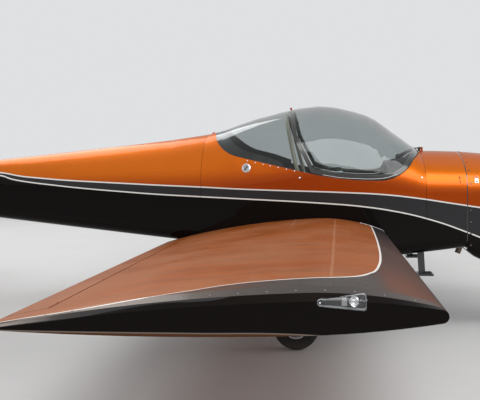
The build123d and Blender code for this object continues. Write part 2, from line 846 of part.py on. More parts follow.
def fin_section(z, ahead, half):
    chord = ahead - RUDDER_HINGE_AHEAD + RUDDER_TIP_CHORD
    plane = Plane(origin=(at(ahead), 0, z), x_dir=(-1, 0, 0), z_dir=(0, 0, 1))
    return plane * aerofoil(chord, half, half, min(FIN_NOSE, half * FIN_NOSE_SHARE))


def rudder_section(distance, chord, half):
    edge = RUDDER_EDGE_HALF
    outline = Polyline((0, half), (chord, edge), (chord, -edge), (0, -half), close=True)
    return along_hinge(rudder_hinge(), distance) * make_face(outline)


def build_fin(fuselage):
    hinge = rudder_hinge()
    height = FIN_TOP - RUDDER_BOTTOM
    stations = rudder_stations()
    blank = loft([
        fin_section(FIN_BOTTOM, FIN_ROOT_AHEAD, FIN_ROOT_HALF),
        fin_section(FIN_TOP - FIN_ROUND, FIN_TIP_AHEAD, FIN_TIP_HALF),
        fin_section(FIN_TOP, FIN_CROWN_AHEAD, FIN_CROWN_HALF),
    ], ruled=True)
    room = along_hinge(hinge, -PANEL_GAP)
    fixed = blank - extrude(room * tail_bay(), amount=height + 2 * PANEL_GAP) - fuselage
    save("fin", joined([fixed] + hinge_arms(hinge, stations[1:], RUDDER_ARM_REACH)))

    root_chord = RUDDER_BEHIND + RUDDER_HINGE_AHEAD
    rudder = loft([
        rudder_section(0, root_chord, RUDDER_HALF),
        rudder_section(height - FIN_ROUND, RUDDER_TIP_CHORD, RUDDER_HALF),
        rudder_section(height, RUDDER_TIP_CHORD - FIN_ROUND, RUDDER_EDGE_HALF * 2),
    ], ruled=True)
    rudder = rudder + rod_on(hinge, 0, height - FIN_ROUND, TAIL_NOSE_RADIUS)
    save("rudder", minus(rudder, hinge_notches(hinge, stations, RUDDER_NOTCH)))


# Undercarriage
def wheel_outline(points):
    """Outline of radius and width pairs, made whole by its mirror across the wheel."""
    mirrored = [(radius, -width) for radius, width in reversed(points)]
    return make_face(Polyline(*points, *mirrored, close=True))


def wheel(name, centre):
    plane = Plane(origin=centre, x_dir=(1, 0, 0), z_dir=(0, 0, 1))
    turn = Axis(centre, (0, 1, 0))
    half = TYRE_WIDTH / 2
    tread = [(RIM_RADIUS, RIM_HALF_WIDTH)]
    tread += [(radius, half * share) for radius, share in TYRE_PROFILE]
    save(f"tyre_{name}", revolve(plane * wheel_outline(tread), axis=turn))
    dished = [
        (AXLE_RADIUS + PIN_CLEARANCE, HUB_WIDTH / 2),
        (HUB_RADIUS, HUB_WIDTH / 2),
        (HUB_RADIUS, DISC_HALF),
        (DISC_RADIUS, DISC_HALF),
        (RIM_RADIUS - RIM_WALL, RIM_HALF_WIDTH),
        (RIM_RADIUS, RIM_HALF_WIDTH),
    ]
    save(f"wheel_{name}", revolve(plane * wheel_outline(dished), axis=turn))


def build_main_legs(fuselage):
    x = at(MAIN_WHEEL_AHEAD)
    for name, side in SIDES.items():
        points = [
            (side * LEG_ROOT_Y, LEG_TOP_Z - LEG_THICKNESS / 2),
            (side * LEG_BEND_Y, LEG_TOP_Z - LEG_THICKNESS / 2),
            (side * (LEG_END_Y - LEG_BEND_RADIUS), WHEEL_RADIUS + LEG_BEND_RADIUS / 2),
            (side * (LEG_END_Y - MINIMUM_ROUND), WHEEL_RADIUS),
        ]
        path = FilletPolyline(*points, radius=LEG_BEND_RADIUS)
        band = offset(path, amount=LEG_THICKNESS / 2)
        face = section_plane(MAIN_WHEEL_AHEAD) * make_face(band)
        leg = extrude(face, amount=LEG_CHORD / 2, both=True)
        axle = rod_between(
            (x, side * (LEG_END_Y - AXLE_RADIUS), WHEEL_RADIUS),
            (x, side * (MAIN_WHEEL_Y + HUB_WIDTH / 2 + AXLE_PROUD), WHEEL_RADIUS), AXLE_RADIUS)
        inner_y = side * (LEG_ROOT_Y - MINIMUM_ROUND)
        half_pad = LEG_CHORD / 2 + LEG_PAD_MARGIN
        pad = box_between(
            x - half_pad, x + half_pad, inner_y, inner_y + side * LEG_PAD,
            LEG_TOP_Z - LEG_THICKNESS - LEG_PAD_DROP, LEG_TOP_Z + LEG_PAD_RISE)
        leg = leg & leg_plan(x, side)
        save(f"main_leg_{name}", leg + axle + (pad - fuselage))
        wheel(f"main_{name}", (x, side * MAIN_WHEEL_Y, WHEEL_RADIUS))


def leg_plan(x, side):
    """The leg's taper, seen from above."""
    root, end = side * LEG_BEND_Y, side * (LEG_END_Y + LEG_THICKNESS)
    half, end_half = LEG_CHORD / 2, LEG_END_CHORD / 2
    plan = Polyline(
        (x - half, 0), (x - half, root), (x - end_half, end),
        (x + end_half, end), (x + half, root), (x + half, 0), close=True)
    return extrude(make_face(plan), amount=FAR)


def steer_plane():
    rake = radians(STEER_RAKE)
    return Plane(
        origin=(at(STEER_AHEAD), 0, STEER_Z), x_dir=(cos(rake), 0, sin(rake)),
        z_dir=(-sin(rake), 0, cos(rake)))


def build_nose_gear():
    plane = steer_plane()
    column = Circle(HOUSING_RADIUS) - Circle(STEERER_RADIUS + PIN_CLEARANCE)
    housing = extrude(plane * column, amount=HOUSING_LENGTH)
    arm = box_between(
        at(FIREWALL_AHEAD + FIREWALL_THICKNESS), at(STEER_AHEAD) - HOUSING_RADIUS,
        -HOUSING_ARM_HALF, HOUSING_ARM_HALF, HOUSING_ARM_BOTTOM, HOUSING_ARM_TOP)
    arm = arm - extrude(plane * Circle(HOUSING_RADIUS - PIPE_WALL), amount=FAR)
    discs = []
    for count in range(SPRING_DISCS):
        foot = along_hinge(plane, SPRING_START + count * SPRING_DISC_PITCH)
        ring = Circle(SPRING_DISC_RADIUS) - Circle(HOUSING_RADIUS - PIPE_WALL)
        disc = extrude(foot * ring, amount=SPRING_DISC_THICKNESS)
        rims = disc.edges().filter_by(GeomType.CIRCLE).sort_by(SortBy.RADIUS)[-2:]
        discs.append(fillet(rims, SPRING_DISC_ROUND))
    save("nose_leg", joined([housing, arm] + discs))
    build_nose_fork(plane)


def build_nose_fork(plane):
    half = TYRE_WIDTH / 2 + FORK_GAP
    centre = (at(NOSE_WHEEL_AHEAD), 0, WHEEL_RADIUS)
    below = along_hinge(plane, -BEARING_GAP)
    crown = extrude(below * Rectangle(FORK_LENGTH, 2 * (half + FORK_THICKNESS)), amount=-FORK_CROWN)
    steerer = rod_on(plane, -FORK_CROWN / 2, HOUSING_LENGTH + FORK_CROWN, STEERER_RADIUS)
    top = along_hinge(plane, -BEARING_GAP - FORK_CROWN / 2).origin
    eye = Pos(centre[0], centre[2]) * Circle(FORK_EYE)
    head = Pos(top.X, top.Z) * Circle(FORK_TOP)
    shape = make_hull([*eye.edges(), *head.edges()])
    space = extrude(below * Rectangle(CONTROL_REACH, CONTROL_REACH), amount=-CONTROL_REACH)
    blades = []
    for side in SIDES.values():
        y = side * (half + FORK_THICKNESS / 2)
        flat = Plane(origin=(0, y, 0), x_dir=(1, 0, 0), z_dir=(0, -1, 0))
        blades.append(extrude(flat * shape, amount=FORK_THICKNESS / 2, both=True) & space)
    reach = half + FORK_THICKNESS + AXLE_PROUD
    axle = rod_between(
        (centre[0], -reach, centre[2]), (centre[0], reach, centre[2]), AXLE_RADIUS)
    save("nose_fork", joined([crown, steerer, axle] + blades))
    wheel("nose", centre)


# Nose
def build_cowling():
    outer = cowl_loft()
    front = at(COWL_SECTIONS[-1][0])
    rear = COWL_SECTIONS[0][0]
    nose_plate = box_between(front - COWL_WALL, front + COWL_WALL, -FAR, FAR, 0, SKY_Z)
    shell = outer - (cowl_loft(COWL_WALL) - nose_plate)
    nose = Plane(origin=(front - SHAFT_OPENING, 0, 0), x_dir=(0, 1, 0), z_dir=(1, 0, 0))
    openings = [Pos(0, THRUST_Z) * Circle(SHAFT_OPENING)]
    openings.append(Pos(0, CHIN_INLET_Z) * SlotOverall(CHIN_INLET_WIDTH, CHIN_INLET_HEIGHT))
    lips = []
    for side in SIDES.values():
        place = Pos(side * AIR_INLET_Y, AIR_INLET_Z)
        mouth = place * Ellipse(AIR_INLET_HALF_WIDTH, AIR_INLET_HALF_HEIGHT)
        rim = place * Ellipse(AIR_INLET_HALF_WIDTH + INLET_LIP, AIR_INLET_HALF_HEIGHT + INLET_LIP)
        openings.append(mouth)
        ring = Location((front - COWL_WALL / 2, 0, 0)) * extrude(
            Plane.YZ * (rim - mouth), amount=COWL_WALL / 2 + INLET_LIP_PROUD)
        lips.append(ring)
    cuts = [extrude(nose * opening, amount=2 * SHAFT_OPENING) for opening in openings]
    cuts.append(box_between(
        at(rear) - COWL_WALL, at(rear) + OUTLET_LENGTH,
        -OUTLET_HALF_WIDTH, OUTLET_HALF_WIDTH, 0, OUTLET_TOP_Z))
    cuts.append(extrude(steer_plane() * Circle(LEG_OPENING), amount=HOUSING_LENGTH - LEG_OPENING))
    shell = joined([minus(shell, cuts)] + lips)
    upper = slab_between(rear - COWL_WALL, SPINNER_BACK, COWL_SPLIT_Z, SKY_Z)
    save("cowling_upper", shell & upper)
    save("cowling_lower", shell - upper)


def build_engine():
    rear = at(FIREWALL_AHEAD + FIREWALL_THICKNESS)
    block = box_between(
        rear + ENGINE_MOUNT_LENGTH, at(ENGINE_FRONT), -ENGINE_HALF_WIDTH, ENGINE_HALF_WIDTH,
        ENGINE_BOTTOM, ENGINE_TOP)
    pieces = [block]
    for side in SIDES.values():
        for z in ENGINE_MOUNTS_Z:
            y = side * ENGINE_MOUNT_Y
            pieces.append(rod_between(
                (rear, y, z), (rear + ENGINE_MOUNT_LENGTH + COWL_WALL, y, z), ENGINE_MOUNT_RADIUS))
    back = at(SPINNER_BACK) - COWL_WALL
    pieces.append(rod_between(
        (at(ENGINE_FRONT) - COWL_WALL, 0, THRUST_Z), (back, 0, THRUST_Z), REDUCTION_RADIUS))
    pieces.append(rod_between(
        (back - COWL_WALL, 0, THRUST_Z), (at(PROPELLER_AHEAD), 0, THRUST_Z), SHAFT_RADIUS))
    save("engine", joined(pieces))


def blade_section(radius, chord, thickness, pitch):
    """A lens of two arcs, set at its pitch, at one distance from the shaft."""
    half = chord / 2
    lens = make_face(Wire([
        ThreePointArc((-half, 0), (0, thickness * LENS_UPPER), (half, 0)),
        ThreePointArc((half, 0), (0, thickness * (LENS_UPPER - 1)), (-half, 0)),
    ]))
    return Plane(origin=(0, 0, radius), x_dir=(0, 1, 0), z_dir=(0, 0, 1)) * (Rot(0, 0, pitch) * lens)


def build_propeller():
    hub_centre = (at(PROPELLER_AHEAD), 0, THRUST_Z)
    back = at(SPINNER_BACK)
    hub = rod_between(
        (back + SPINNER_PLATE, 0, THRUST_Z), (at(PROPELLER_AHEAD) + HUB_BLOCK_AHEAD, 0, THRUST_Z),
        HUB_BLOCK_RADIUS)
    blade = loft([blade_section(*row) for row in BLADE_SECTIONS])
    single = blade + extrude(Plane.XY * Circle(SHANK_RADIUS), amount=SHANK_LENGTH)
    gap = extrude(Plane.XY * Circle(SHANK_RADIUS + SHANK_GAP), amount=2 * SPINNER_RADIUS)
    holes = [rod_between(
        (back - SPINNER_PLATE, 0, THRUST_Z), (back + 2 * SPINNER_PLATE, 0, THRUST_Z),
        SHAFT_RADIUS + SHANK_GAP)]
    blades = []
    for count in range(BLADES):
        place = Location(hub_centre) * Rot(360 / BLADES * count + BLADE_TURN, 0, 0)
        blades.append(place * single)
        holes.append(place * gap)
    bore = rod_between((back, 0, THRUST_Z), hub_centre, SHAFT_RADIUS + PIN_CLEARANCE)
    save("propeller", joined([hub] + blades) - bore)

    length = SPINNER_AHEAD - SPINNER_BACK
    cavity = spinner_body(SPINNER_RADIUS - SPINNER_WALL, length - 2 * SPINNER_PLATE, SPINNER_PLATE)
    save("spinner", minus(spinner_body(SPINNER_RADIUS, length, 0) - cavity, holes))


def spinner_body(radius, reach, start):
    """A domed cone about the shaft, from its base plate to its rounded tip."""
    share, width = SPINNER_SWELL
    shoulder = (reach - SPINNER_TIP / 2, SPINNER_TIP)
    face = make_face(Wire([
        Line((start, 0), (start, radius)),
        ThreePointArc((start, radius), (reach * share, radius * width), shoulder),
        Line(shoulder, (reach, 0)),
        Line((reach, 0), (start, 0)),
    ]))
    base = (at(SPINNER_BACK), 0, THRUST_Z)
    side = Plane(origin=base, x_dir=(1, 0, 0), z_dir=(0, -1, 0))
    return revolve(side * face, axis=Axis(base, (1, 0, 0)))


# Cabin
def build_cabin():
    trim = cabin_loft(CABIN_WALL + TRIM_GAP)
    base = box_between(
        at(SEAT_REAR), at(SEAT_FRONT), -SEAT_BASE_HALF, SEAT_BASE_HALF, FLOOR_Z, SEAT_BASE_TOP)
    save("seat_base", base)
    top = SEAT_BASE_TOP + SOFT_GAP
    back_front = SEAT_REAR + BACK_FOOT
    outline = Polyline(
        side_point((SEAT_FRONT, top)), side_point((SEAT_FRONT, top + CUSHION)),
        side_point((back_front, top + CUSHION)),
        side_point((back_front - BACK_LEAN, BACK_TOP_Z)),
        side_point((back_front - BACK_THICKNESS - BACK_LEAN, BACK_TOP_Z)),
        side_point((SEAT_REAR, top)), close=True)
    for name, side in SIDES.items():
        plane = Plane(origin=(0, side * SEAT_Y, 0), x_dir=(1, 0, 0), z_dir=(0, -1, 0))
        save(f"seat_{name}", extrude(plane * make_face(outline), amount=SEAT_WIDTH / 2, both=True))

    wall = box_between(at(SEAM_AHEAD), at(SEAM_AHEAD) + BULKHEAD, -FAR, FAR, FLOOR_Z, SKY_Z)
    save("rear_bulkhead", wall & trim)

    face = slab_between(PANEL_AHEAD, PANEL_AHEAD + PANEL_THICKNESS, PANEL_BOTTOM, HOOD_Z)
    hood = slab_between(HOOD_REAR, SCREEN_AHEAD - HOOD_END, HOOD_Z, HOOD_Z + HOOD_THICKNESS)
    save("instrument_panel", (face + hood) & trim)
    build_sticks()
    save("roll_bar", roll_bar())


def build_sticks():
    sticks = []
    foot_x, top_x = at(STICK_AHEAD), at(STICK_AHEAD - STICK_LEAN)
    for side in SIDES.values():
        y = side * SEAT_Y
        foot = box_between(
            foot_x - STICK_FOOT_HALF, foot_x + STICK_FOOT_HALF,
            y - STICK_FOOT_HALF, y + STICK_FOOT_HALF, FLOOR_Z, FLOOR_Z + STICK_FOOT_HEIGHT)
        rod = rod_between(
            (foot_x, y, FLOOR_Z + STICK_FOOT_HEIGHT / 2), (top_x, y, STICK_TOP_Z), STICK_RADIUS)
        grip = rod_between(
            (top_x, y, STICK_TOP_Z - STICK_RADIUS / 2),
            (top_x - GRIP_LEAN, y, STICK_TOP_Z + GRIP_LENGTH), GRIP_RADIUS)
        sticks.append(foot + rod + grip)
    save("control_sticks", joined(sticks))


def roll_bar():
    """A bent tube: two straight legs and an arch of three arcs, leaning aft at the top."""
    slope = atan2(ROLL_BAR_FOOT[0] - ROLL_BAR_TOP[0], ROLL_BAR_TOP[1] - ROLL_BAR_FOOT[1])
    half, rise, small = ROLL_BAR_HALF, ROLL_BAR_RISE, ROLL_BAR_CORNER
    big = large_radius(half, rise, small)
    join = degrees(atan2(big - rise, half - small))
    plane = Plane(
        origin=(at(ROLL_BAR_FOOT[0]), 0, ROLL_BAR_FOOT[1]), x_dir=(0, 1, 0),
        z_dir=(cos(slope), 0, sin(slope)))
    base = ROLL_BAR_SPRING_Z - ROLL_BAR_FOOT[1]
    drop = (FLOOR_Z - ROLL_BAR_FOOT[1]) / cos(slope) - 2 * ROLL_BAR_RADIUS
    edges = [
        Line((half, drop), (half, base)),
        CenterArc((half - small, base), small, 0, join),
        CenterArc((0, base + rise - big), big, join, 180 - 2 * join),
        CenterArc((small - half, base), small, 180 - join, join),
        Line((-half, base), (-half, drop)),
    ]
    path = plane * Wire(edges)
    tube = sweep(Plane(origin=path @ 0, z_dir=path % 0) * Circle(ROLL_BAR_RADIUS), path=path)
    return tube - slab_between(-RUDDER_BEHIND, SPINNER_AHEAD, 0, FLOOR_Z)


# Outside fittings
def build_fittings(fuselage):
    save("boarding_steps", joined([boarding_step(side) - fuselage for side in SIDES.values()]))

    near, far = (-place for place in CAP_SPAN)
    cap = rod_between((at(CAP_AHEAD), near, CAP_Z), (at(CAP_AHEAD), far, CAP_Z), CAP_RADIUS)
    save("fuel_cap", (cap & cabin_loft(-CAP_HEIGHT)) - fuselage)

    start = Vector(at(PIPE_TOP_AHEAD), PIPE_Y, ENGINE_BOTTOM + 2 * PIPE_RADIUS)
    end = Vector(at(PIPE_END[0]), PIPE_Y, PIPE_END[1])
    beyond = end + (end - start).normalized() * PIPE_RADIUS
    pipe = rod_between(start, end, PIPE_RADIUS) - rod_between(start, beyond, PIPE_RADIUS - PIPE_WALL)
    save("exhaust_pipe", pipe & slab_between(-RUDDER_BEHIND, SPINNER_AHEAD, 0, ENGINE_BOTTOM))


def boarding_step(side):
    """A flat bar under the belly with a tread plate across its foot."""
    y = side * STEP_Y
    flat = Plane(origin=(0, y, 0), x_dir=(1, 0, 0), z_dir=(0, -1, 0))
    foot_ahead = STEP_BAR_AHEAD + STEP_BAR_LEAN
    bar = Polyline(
        side_point((STEP_BAR_AHEAD, STEP_BAR_TOP_Z)),
        side_point((STEP_BAR_AHEAD + STEP_BAR_WIDTH, STEP_BAR_TOP_Z)),
        side_point((foot_ahead + STEP_BAR_WIDTH, STEP_Z)),
        side_point((foot_ahead, STEP_Z)), close=True)
    plate = extrude(flat * make_face(bar), amount=STEP_BAR_THICKNESS / 2, both=True)
    foot = box_between(
        at(STEP_BAR_AHEAD), at(STEP_BAR_AHEAD + STEP_LENGTH), y - STEP_HALF_WIDTH,
        y + STEP_HALF_WIDTH, STEP_Z, STEP_Z + STEP_THICKNESS)
    return plate + foot


def main():
    outer = build_fuselage()
    build_canopy(outer)
    build_canopy_hinge()
    build_wings(outer)
    build_tailplane(outer)
    build_fin(outer)
    build_main_legs(outer)
    build_nose_gear()
    build_cowling()
    build_engine()
    build_propeller()
    build_cabin()
    build_fittings(outer)


os.makedirs("parts", exist_ok=True)
main()
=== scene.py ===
"""Looks of a small low-wing aeroplane with two seats side by side.

Metres, +X forward, +Y to port, +Z up, ground at z = 0. The aeroplane's solids come
from the frame. This file gives them their finishes and adds the pieces that only show.
"""

import math

import bmesh
import bpy
from bpy.props import FloatProperty, FloatVectorProperty, PointerProperty
from mathutils import Matrix, Vector


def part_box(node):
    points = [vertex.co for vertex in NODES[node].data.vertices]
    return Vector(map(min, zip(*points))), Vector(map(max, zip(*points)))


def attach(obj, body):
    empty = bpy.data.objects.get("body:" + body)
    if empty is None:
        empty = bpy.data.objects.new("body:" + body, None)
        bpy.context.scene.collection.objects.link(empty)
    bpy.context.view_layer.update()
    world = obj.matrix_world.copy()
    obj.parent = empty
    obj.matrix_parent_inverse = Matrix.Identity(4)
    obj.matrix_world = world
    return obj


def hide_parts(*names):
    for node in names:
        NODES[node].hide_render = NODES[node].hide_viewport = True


bl_info = {
    "name": "Two-seat low-wing aeroplane",
    "version": (1, 0, 0),
    "blender": (4, 5, 0),
    "location": "View3D > Sidebar > Aeroplane",
    "description": "Finishes and fittings of a small low-wing aeroplane",
    "category": "Object",
}

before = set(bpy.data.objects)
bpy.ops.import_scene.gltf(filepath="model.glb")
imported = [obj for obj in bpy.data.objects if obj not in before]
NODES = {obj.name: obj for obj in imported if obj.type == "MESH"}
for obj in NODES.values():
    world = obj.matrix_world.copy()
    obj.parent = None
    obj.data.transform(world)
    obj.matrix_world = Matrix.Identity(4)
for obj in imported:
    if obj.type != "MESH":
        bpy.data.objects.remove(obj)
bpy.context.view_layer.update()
SIDES = {"right": -1, "left": 1}

UP = (0, 0, 1)

# Places taken from the part's source: the wing's leading edge, its end, and the propeller's axis
WING_X = 1.300
TIP_Y = 3.276
HUB_Z = 0.950

# Corners closer than this are one corner, and edges over these angles, in degrees, stay sharp
TOUCHING = 0.00001
SHARP_ANGLE = 35
SHEET_ANGLE = 50
# An axis counts as upright when the height of its unit vector is over this
NEARLY_UPRIGHT = 0.9
# Rays start this far out, and a corner of a patch moves on in so many steps until it finds the node
OUTSIDE = 3
PATCH_TRIES = 40

# Stripes on the fuselage: x, height of the line
UPPER_STRIPE = [
    (-2.90, 1.120), (-2.60, 1.132), (-2.20, 1.158), (-1.85, 1.171), (-1.615, 1.160), (-1.408, 1.129),
    (-1.287, 1.118), (-1.078, 1.101), (-0.951, 1.093), (-0.580, 1.073), (-0.342, 1.060), (0.003, 1.043),
    (0.302, 1.026), (1.017, 0.994), (1.259, 0.979), (1.498, 0.951), (1.734, 0.912), (1.93, 0.879),
    (2.20, 0.836), (2.45, 0.802), (2.70, 0.780),
]
LOWER_STRIPE = [
    (-2.90, 1.104), (-2.60, 1.115), (-2.20, 1.138), (-1.85, 1.149), (-1.610, 1.138), (-1.498, 1.109),
    (-1.350, 1.086), (-1.154, 1.064), (-0.944, 1.042), (-0.582, 1.012), (-0.344, 0.994), (0.001, 0.974),
    (0.300, 0.958), (0.894, 0.920), (1.137, 0.897), (1.378, 0.858), (1.615, 0.797), (1.852, 0.710),
    (1.99, 0.650), (2.12, 0.580), (2.25, 0.490), (2.70, 0.400),
]
# Edge of the painted field on the wing: distance behind the leading edge, inset from the tip
TIP_STRIPE = [
    (0.0, 0.285), (0.20, 0.275), (0.402, 0.250), (0.506, 0.238), (0.678, 0.208), (0.878, 0.126),
    (1.073, 0.074), (1.283, 0.050), (1.394, 0.055), (1.60, 0.076),
]
# The same edge along the nose: distance from the centre line, distance behind the leading edge
NOSE_STRIPE = [
    (0.53, 0.094), (1.07, 0.103), (1.757, 0.122), (2.312, 0.148), (2.596, 0.174), (2.767, 0.200),
    (2.857, 0.222), (2.95, 0.236), (3.30, 0.262),
]
# Upper edge of the black on the tip's end face: x, height
TIP_BAND = [(-0.30, 0.735), (0.038, 0.774), (0.349, 0.824), (0.606, 0.850), (0.75, 0.95), (1.40, 0.95)]
# Thin line near the lower edge of the same face: x, height
TIP_LINE = [
    (-0.30, 0.737), (0.10, 0.733), (0.50, 0.7325), (0.80, 0.733), (0.96, 0.722), (1.10, 0.690),
    (1.35, 0.60),
]
# What lies this near the tip's end is its end face
TIP_FACE_DEPTH = 0.025
# Leading edges of the tail: the fin's foot and slope, the tailplane's edge, and the band behind them
FIN_FOOT, FIN_SLOPE = (-1.880, 1.120), -0.4896
TAILPLANE_NOSE_X = -1.910
TAIL_NOSE_BAND = 0.085
# The spinner's back plate ends here, and a light band lies near each blade's tip
BACK_PLATE_X = 2.6575
TIP_MARK_RADIUS, TIP_MARK_WIDTH = 0.700, 0.050
# Places of the dark joints across the fuselage
FUSELAGE_JOINTS = (0.015, 1.580)

# Shine of the candy paints
CANDY = {"Coat_IOR": 1.40, "Specular_Tint": (1.0, 0.6, 0.3)}
FLAKE_DEPTH = 0.05


# Sizes and colours that can be changed
class AeroplanePaint(bpy.types.PropertyGroup):
    orange: FloatVectorProperty(
        name="Orange", description="Metallic colour of the upper fuselage and the wings",
        subtype="COLOR", size=3, min=0, max=1, default=(0.58, 0.125, 0.003))
    wing: FloatVectorProperty(
        name="Wing", description="Weathered colour of the wing's upper skin",
        subtype="COLOR", size=3, min=0, max=1, default=(0.24, 0.062, 0.012))
    black: FloatVectorProperty(
        name="Black", description="Gloss colour of the lower fuselage and the wing tips",
        subtype="COLOR", size=3, min=0, max=1, default=(0.003, 0.003, 0.0035))
    grey: FloatVectorProperty(
        name="Grey", description="Metallic colour between the lines and along the wing's nose",
        subtype="COLOR", size=3, min=0, max=1, default=(0.032, 0.032, 0.035))
    line: FloatVectorProperty(
        name="Line", description="Colour of the thin lines",
        subtype="COLOR", size=3, min=0, max=1, default=(0.78, 0.77, 0.74))
    line_width: FloatProperty(
        name="Line width", description="Width of the thin lines",
        subtype="DISTANCE", unit="LENGTH", default=0.009, min=0.001, max=0.05)
    flake: FloatProperty(
        name="Flake size", description="Size of the flakes in the metallic paint",
        subtype="DISTANCE", unit="LENGTH", default=0.0012, min=0.0002, max=0.01)


class AeroplaneCamera(bpy.types.PropertyGroup):
    place: FloatVectorProperty(
        name="Place", description="Where the camera stands",
        subtype="TRANSLATION", unit="LENGTH", size=3, default=(0.939, -5.575, 1.350))
    yaw: FloatProperty(
        name="Yaw", description="Turn of the camera towards the tail",
        subtype="ANGLE", unit="ROTATION", default=math.radians(7.187))
    pitch: FloatProperty(
        name="Pitch", description="How far the camera looks down",
        subtype="ANGLE", unit="ROTATION", default=math.radians(4.488))
    roll: FloatProperty(
        name="Roll", description="Tilt of the picture",
        subtype="ANGLE", unit="ROTATION", default=math.radians(-1.252))
    lens: FloatProperty(
        name="Lens", description="Focal length",
        subtype="DISTANCE_CAMERA", default=54.62, min=1, max=500)


# Selecting and shaping
def deselect():
    if bpy.context.object and bpy.context.object.mode != "OBJECT":
        bpy.ops.object.mode_set(mode="OBJECT")
    bpy.ops.object.select_all(action="DESELECT")


def only(piece):
    deselect()
    piece.select_set(True)
    bpy.context.view_layer.objects.active = piece


def edit(piece):
    only(piece)
    bpy.ops.object.mode_set(mode="EDIT")


def leave():
    bpy.ops.object.mode_set(mode="OBJECT")


def pick(piece, test, kind="FACE"):
    """In edit mode, selects the faces, edges or vertices that pass a test of their place."""
    bpy.ops.mesh.select_mode(type=kind)
    bpy.ops.mesh.select_all(action="DESELECT")
    shape = bmesh.from_edit_mesh(piece.data)
    if kind == "FACE":
        for face in shape.faces:
            face.select_set(bool(test(face.calc_center_median(), face.normal)))
    elif kind == "EDGE":
        for side in shape.edges:
            a, b = (corner.co for corner in side.verts)
            side.select_set(bool(test((a + b) / 2, (b - a).normalized())))
    else:
        for corner in shape.verts:
            corner.select_set(bool(test(corner.co, corner.normal)))
    shape.select_flush_mode()
    bmesh.update_edit_mesh(piece.data)


def apply_modifiers(piece):
    only(piece)
    for modifier in list(piece.modifiers):
        bpy.ops.object.modifier_apply(modifier=modifier.name)
    return piece


def freeze(piece):
    """Puts a piece's place, turn and size in its mesh."""
    only(piece)
    bpy.ops.object.transform_apply(location=True, rotation=True, scale=True)
    return piece


def face_outward(piece, merge=0.0):
    """Turns the faces outward, after merging corners that lie closer than a distance."""
    edit(piece)
    bpy.ops.mesh.select_all(action="SELECT")
    if merge:
        bpy.ops.mesh.remove_doubles(threshold=merge)
    bpy.ops.mesh.normals_make_consistent(inside=False)
    leave()
    return piece


def bevelled(piece, width, segments=2, angle=SHARP_ANGLE):
    modifier = piece.modifiers.new("bevel", "BEVEL")
    modifier.width = width
    modifier.segments = segments
    modifier.limit_method = "ANGLE"
    modifier.angle_limit = math.radians(angle)
    modifier.harden_normals = False
    return apply_modifiers(piece)


def smooth(piece, angle=SHARP_ANGLE):
    only(piece)
    bpy.ops.object.shade_smooth_by_angle(angle=math.radians(angle))
    return piece


def settle(piece, name, material, body="airframe"):
    """Puts a finished piece's place in its mesh, names it and lets it ride on a body."""
    freeze(piece)
    piece.name = name
    piece.data.name = name
    piece.data.materials.clear()
    piece.data.materials.append(MATERIALS[material])
    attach(piece, body)
    return piece


def join(pieces):
    """Joins like pieces in one mesh."""
    deselect()
    for piece in pieces:
        piece.select_set(True)
    bpy.context.view_layer.objects.active = pieces[0]
    if len(pieces) > 1:
        bpy.ops.object.join()
    return pieces[0]


def copied(piece):
    """A copy with its own mesh."""
    only(piece)
    bpy.ops.object.duplicate(linked=False)
    return bpy.context.object


def turned(profile, steps, centre=(0, 0, 0), axis=UP, closed=False, angle=SHARP_ANGLE):
    """A lathe piece: pairs of distance along the axis and radius, spun once round it.

    A closed profile gives a ring. With no angle the piece stays flat between its edges."""
    axis = Vector(axis).normalized()
    side = axis.orthogonal().normalized()
    centre = Vector(centre)
    places = [centre + axis * along + side * radius for along, radius in profile]
    bpy.ops.object.select_all(action="DESELECT")
    bpy.ops.mesh.primitive_plane_add(size=0.01, location=(0, 0, 0))
    piece = bpy.context.object
    bpy.ops.object.mode_set(mode="EDIT")
    bpy.ops.mesh.select_mode(type="VERT")
    bpy.ops.mesh.select_all(action="SELECT")
    bpy.ops.mesh.merge(type="CENTER")
    bpy.ops.transform.translate(value=places[0])
    for before, after in zip(places, places[1:]):
        bpy.ops.mesh.extrude_vertices_move(TRANSFORM_OT_translate={"value": after - before})
    if closed:
        bpy.ops.mesh.select_all(action="DESELECT")
        shape = bmesh.from_edit_mesh(piece.data)
        for corner in [corner for corner in shape.verts if len(corner.link_edges) == 1]:
            corner.select_set(True)
        bmesh.update_edit_mesh(piece.data)
        bpy.ops.mesh.edge_face_add()
    bpy.ops.mesh.select_all(action="SELECT")
    bpy.ops.mesh.spin(steps=steps, angle=math.tau, center=centre, axis=axis)
    face_outward(piece, 2 * TOUCHING)
    return smooth(piece, angle) if angle else piece


def smooth_copy(node):
    """A merged copy of a CAD node's mesh, free of the node's own normals."""
    made = bpy.data.objects.new(node + "_skin", NODES[node].data.copy())
    bpy.context.scene.collection.objects.link(made)
    edit(made)
    bpy.ops.mesh.customdata_custom_splitnormals_clear()
    bpy.ops.mesh.select_all(action="SELECT")
    bpy.ops.mesh.remove_doubles(threshold=TOUCHING)
    leave()
    return made


# Node trees
def plug(tree, socket, value):
    if isinstance(value, bpy.types.NodeSocket):
        tree.links.new(value, socket)
    else:
        socket.default_value = value


def node(tree, kind, values=None, **settings):
    made = tree.nodes.new(kind)
    for key, value in settings.items():
        setattr(made, key, value)
    for key, value in (values or {}).items():
        plug(tree, made.inputs[key], value)
    return made


def calc(tree, operation, *values, clamp=False):
    made = node(tree, "ShaderNodeMath", dict(enumerate(values)), operation=operation, use_clamp=clamp)
    return made.outputs[0]


def mixed(tree, share, first, second, blend="MIX"):
    """Colour between the first and the second."""
    made = node(tree, "ShaderNodeMix", data_type="RGBA", blend_type=blend)
    plug(tree, made.inputs[0], share)
    for socket, value in ((made.inputs[6], first), (made.inputs[7], second)):
        if not isinstance(value, bpy.types.NodeSocket) and len(value) == 3:
            value = (*value, 1)
        plug(tree, socket, value)
    return made.outputs[2]


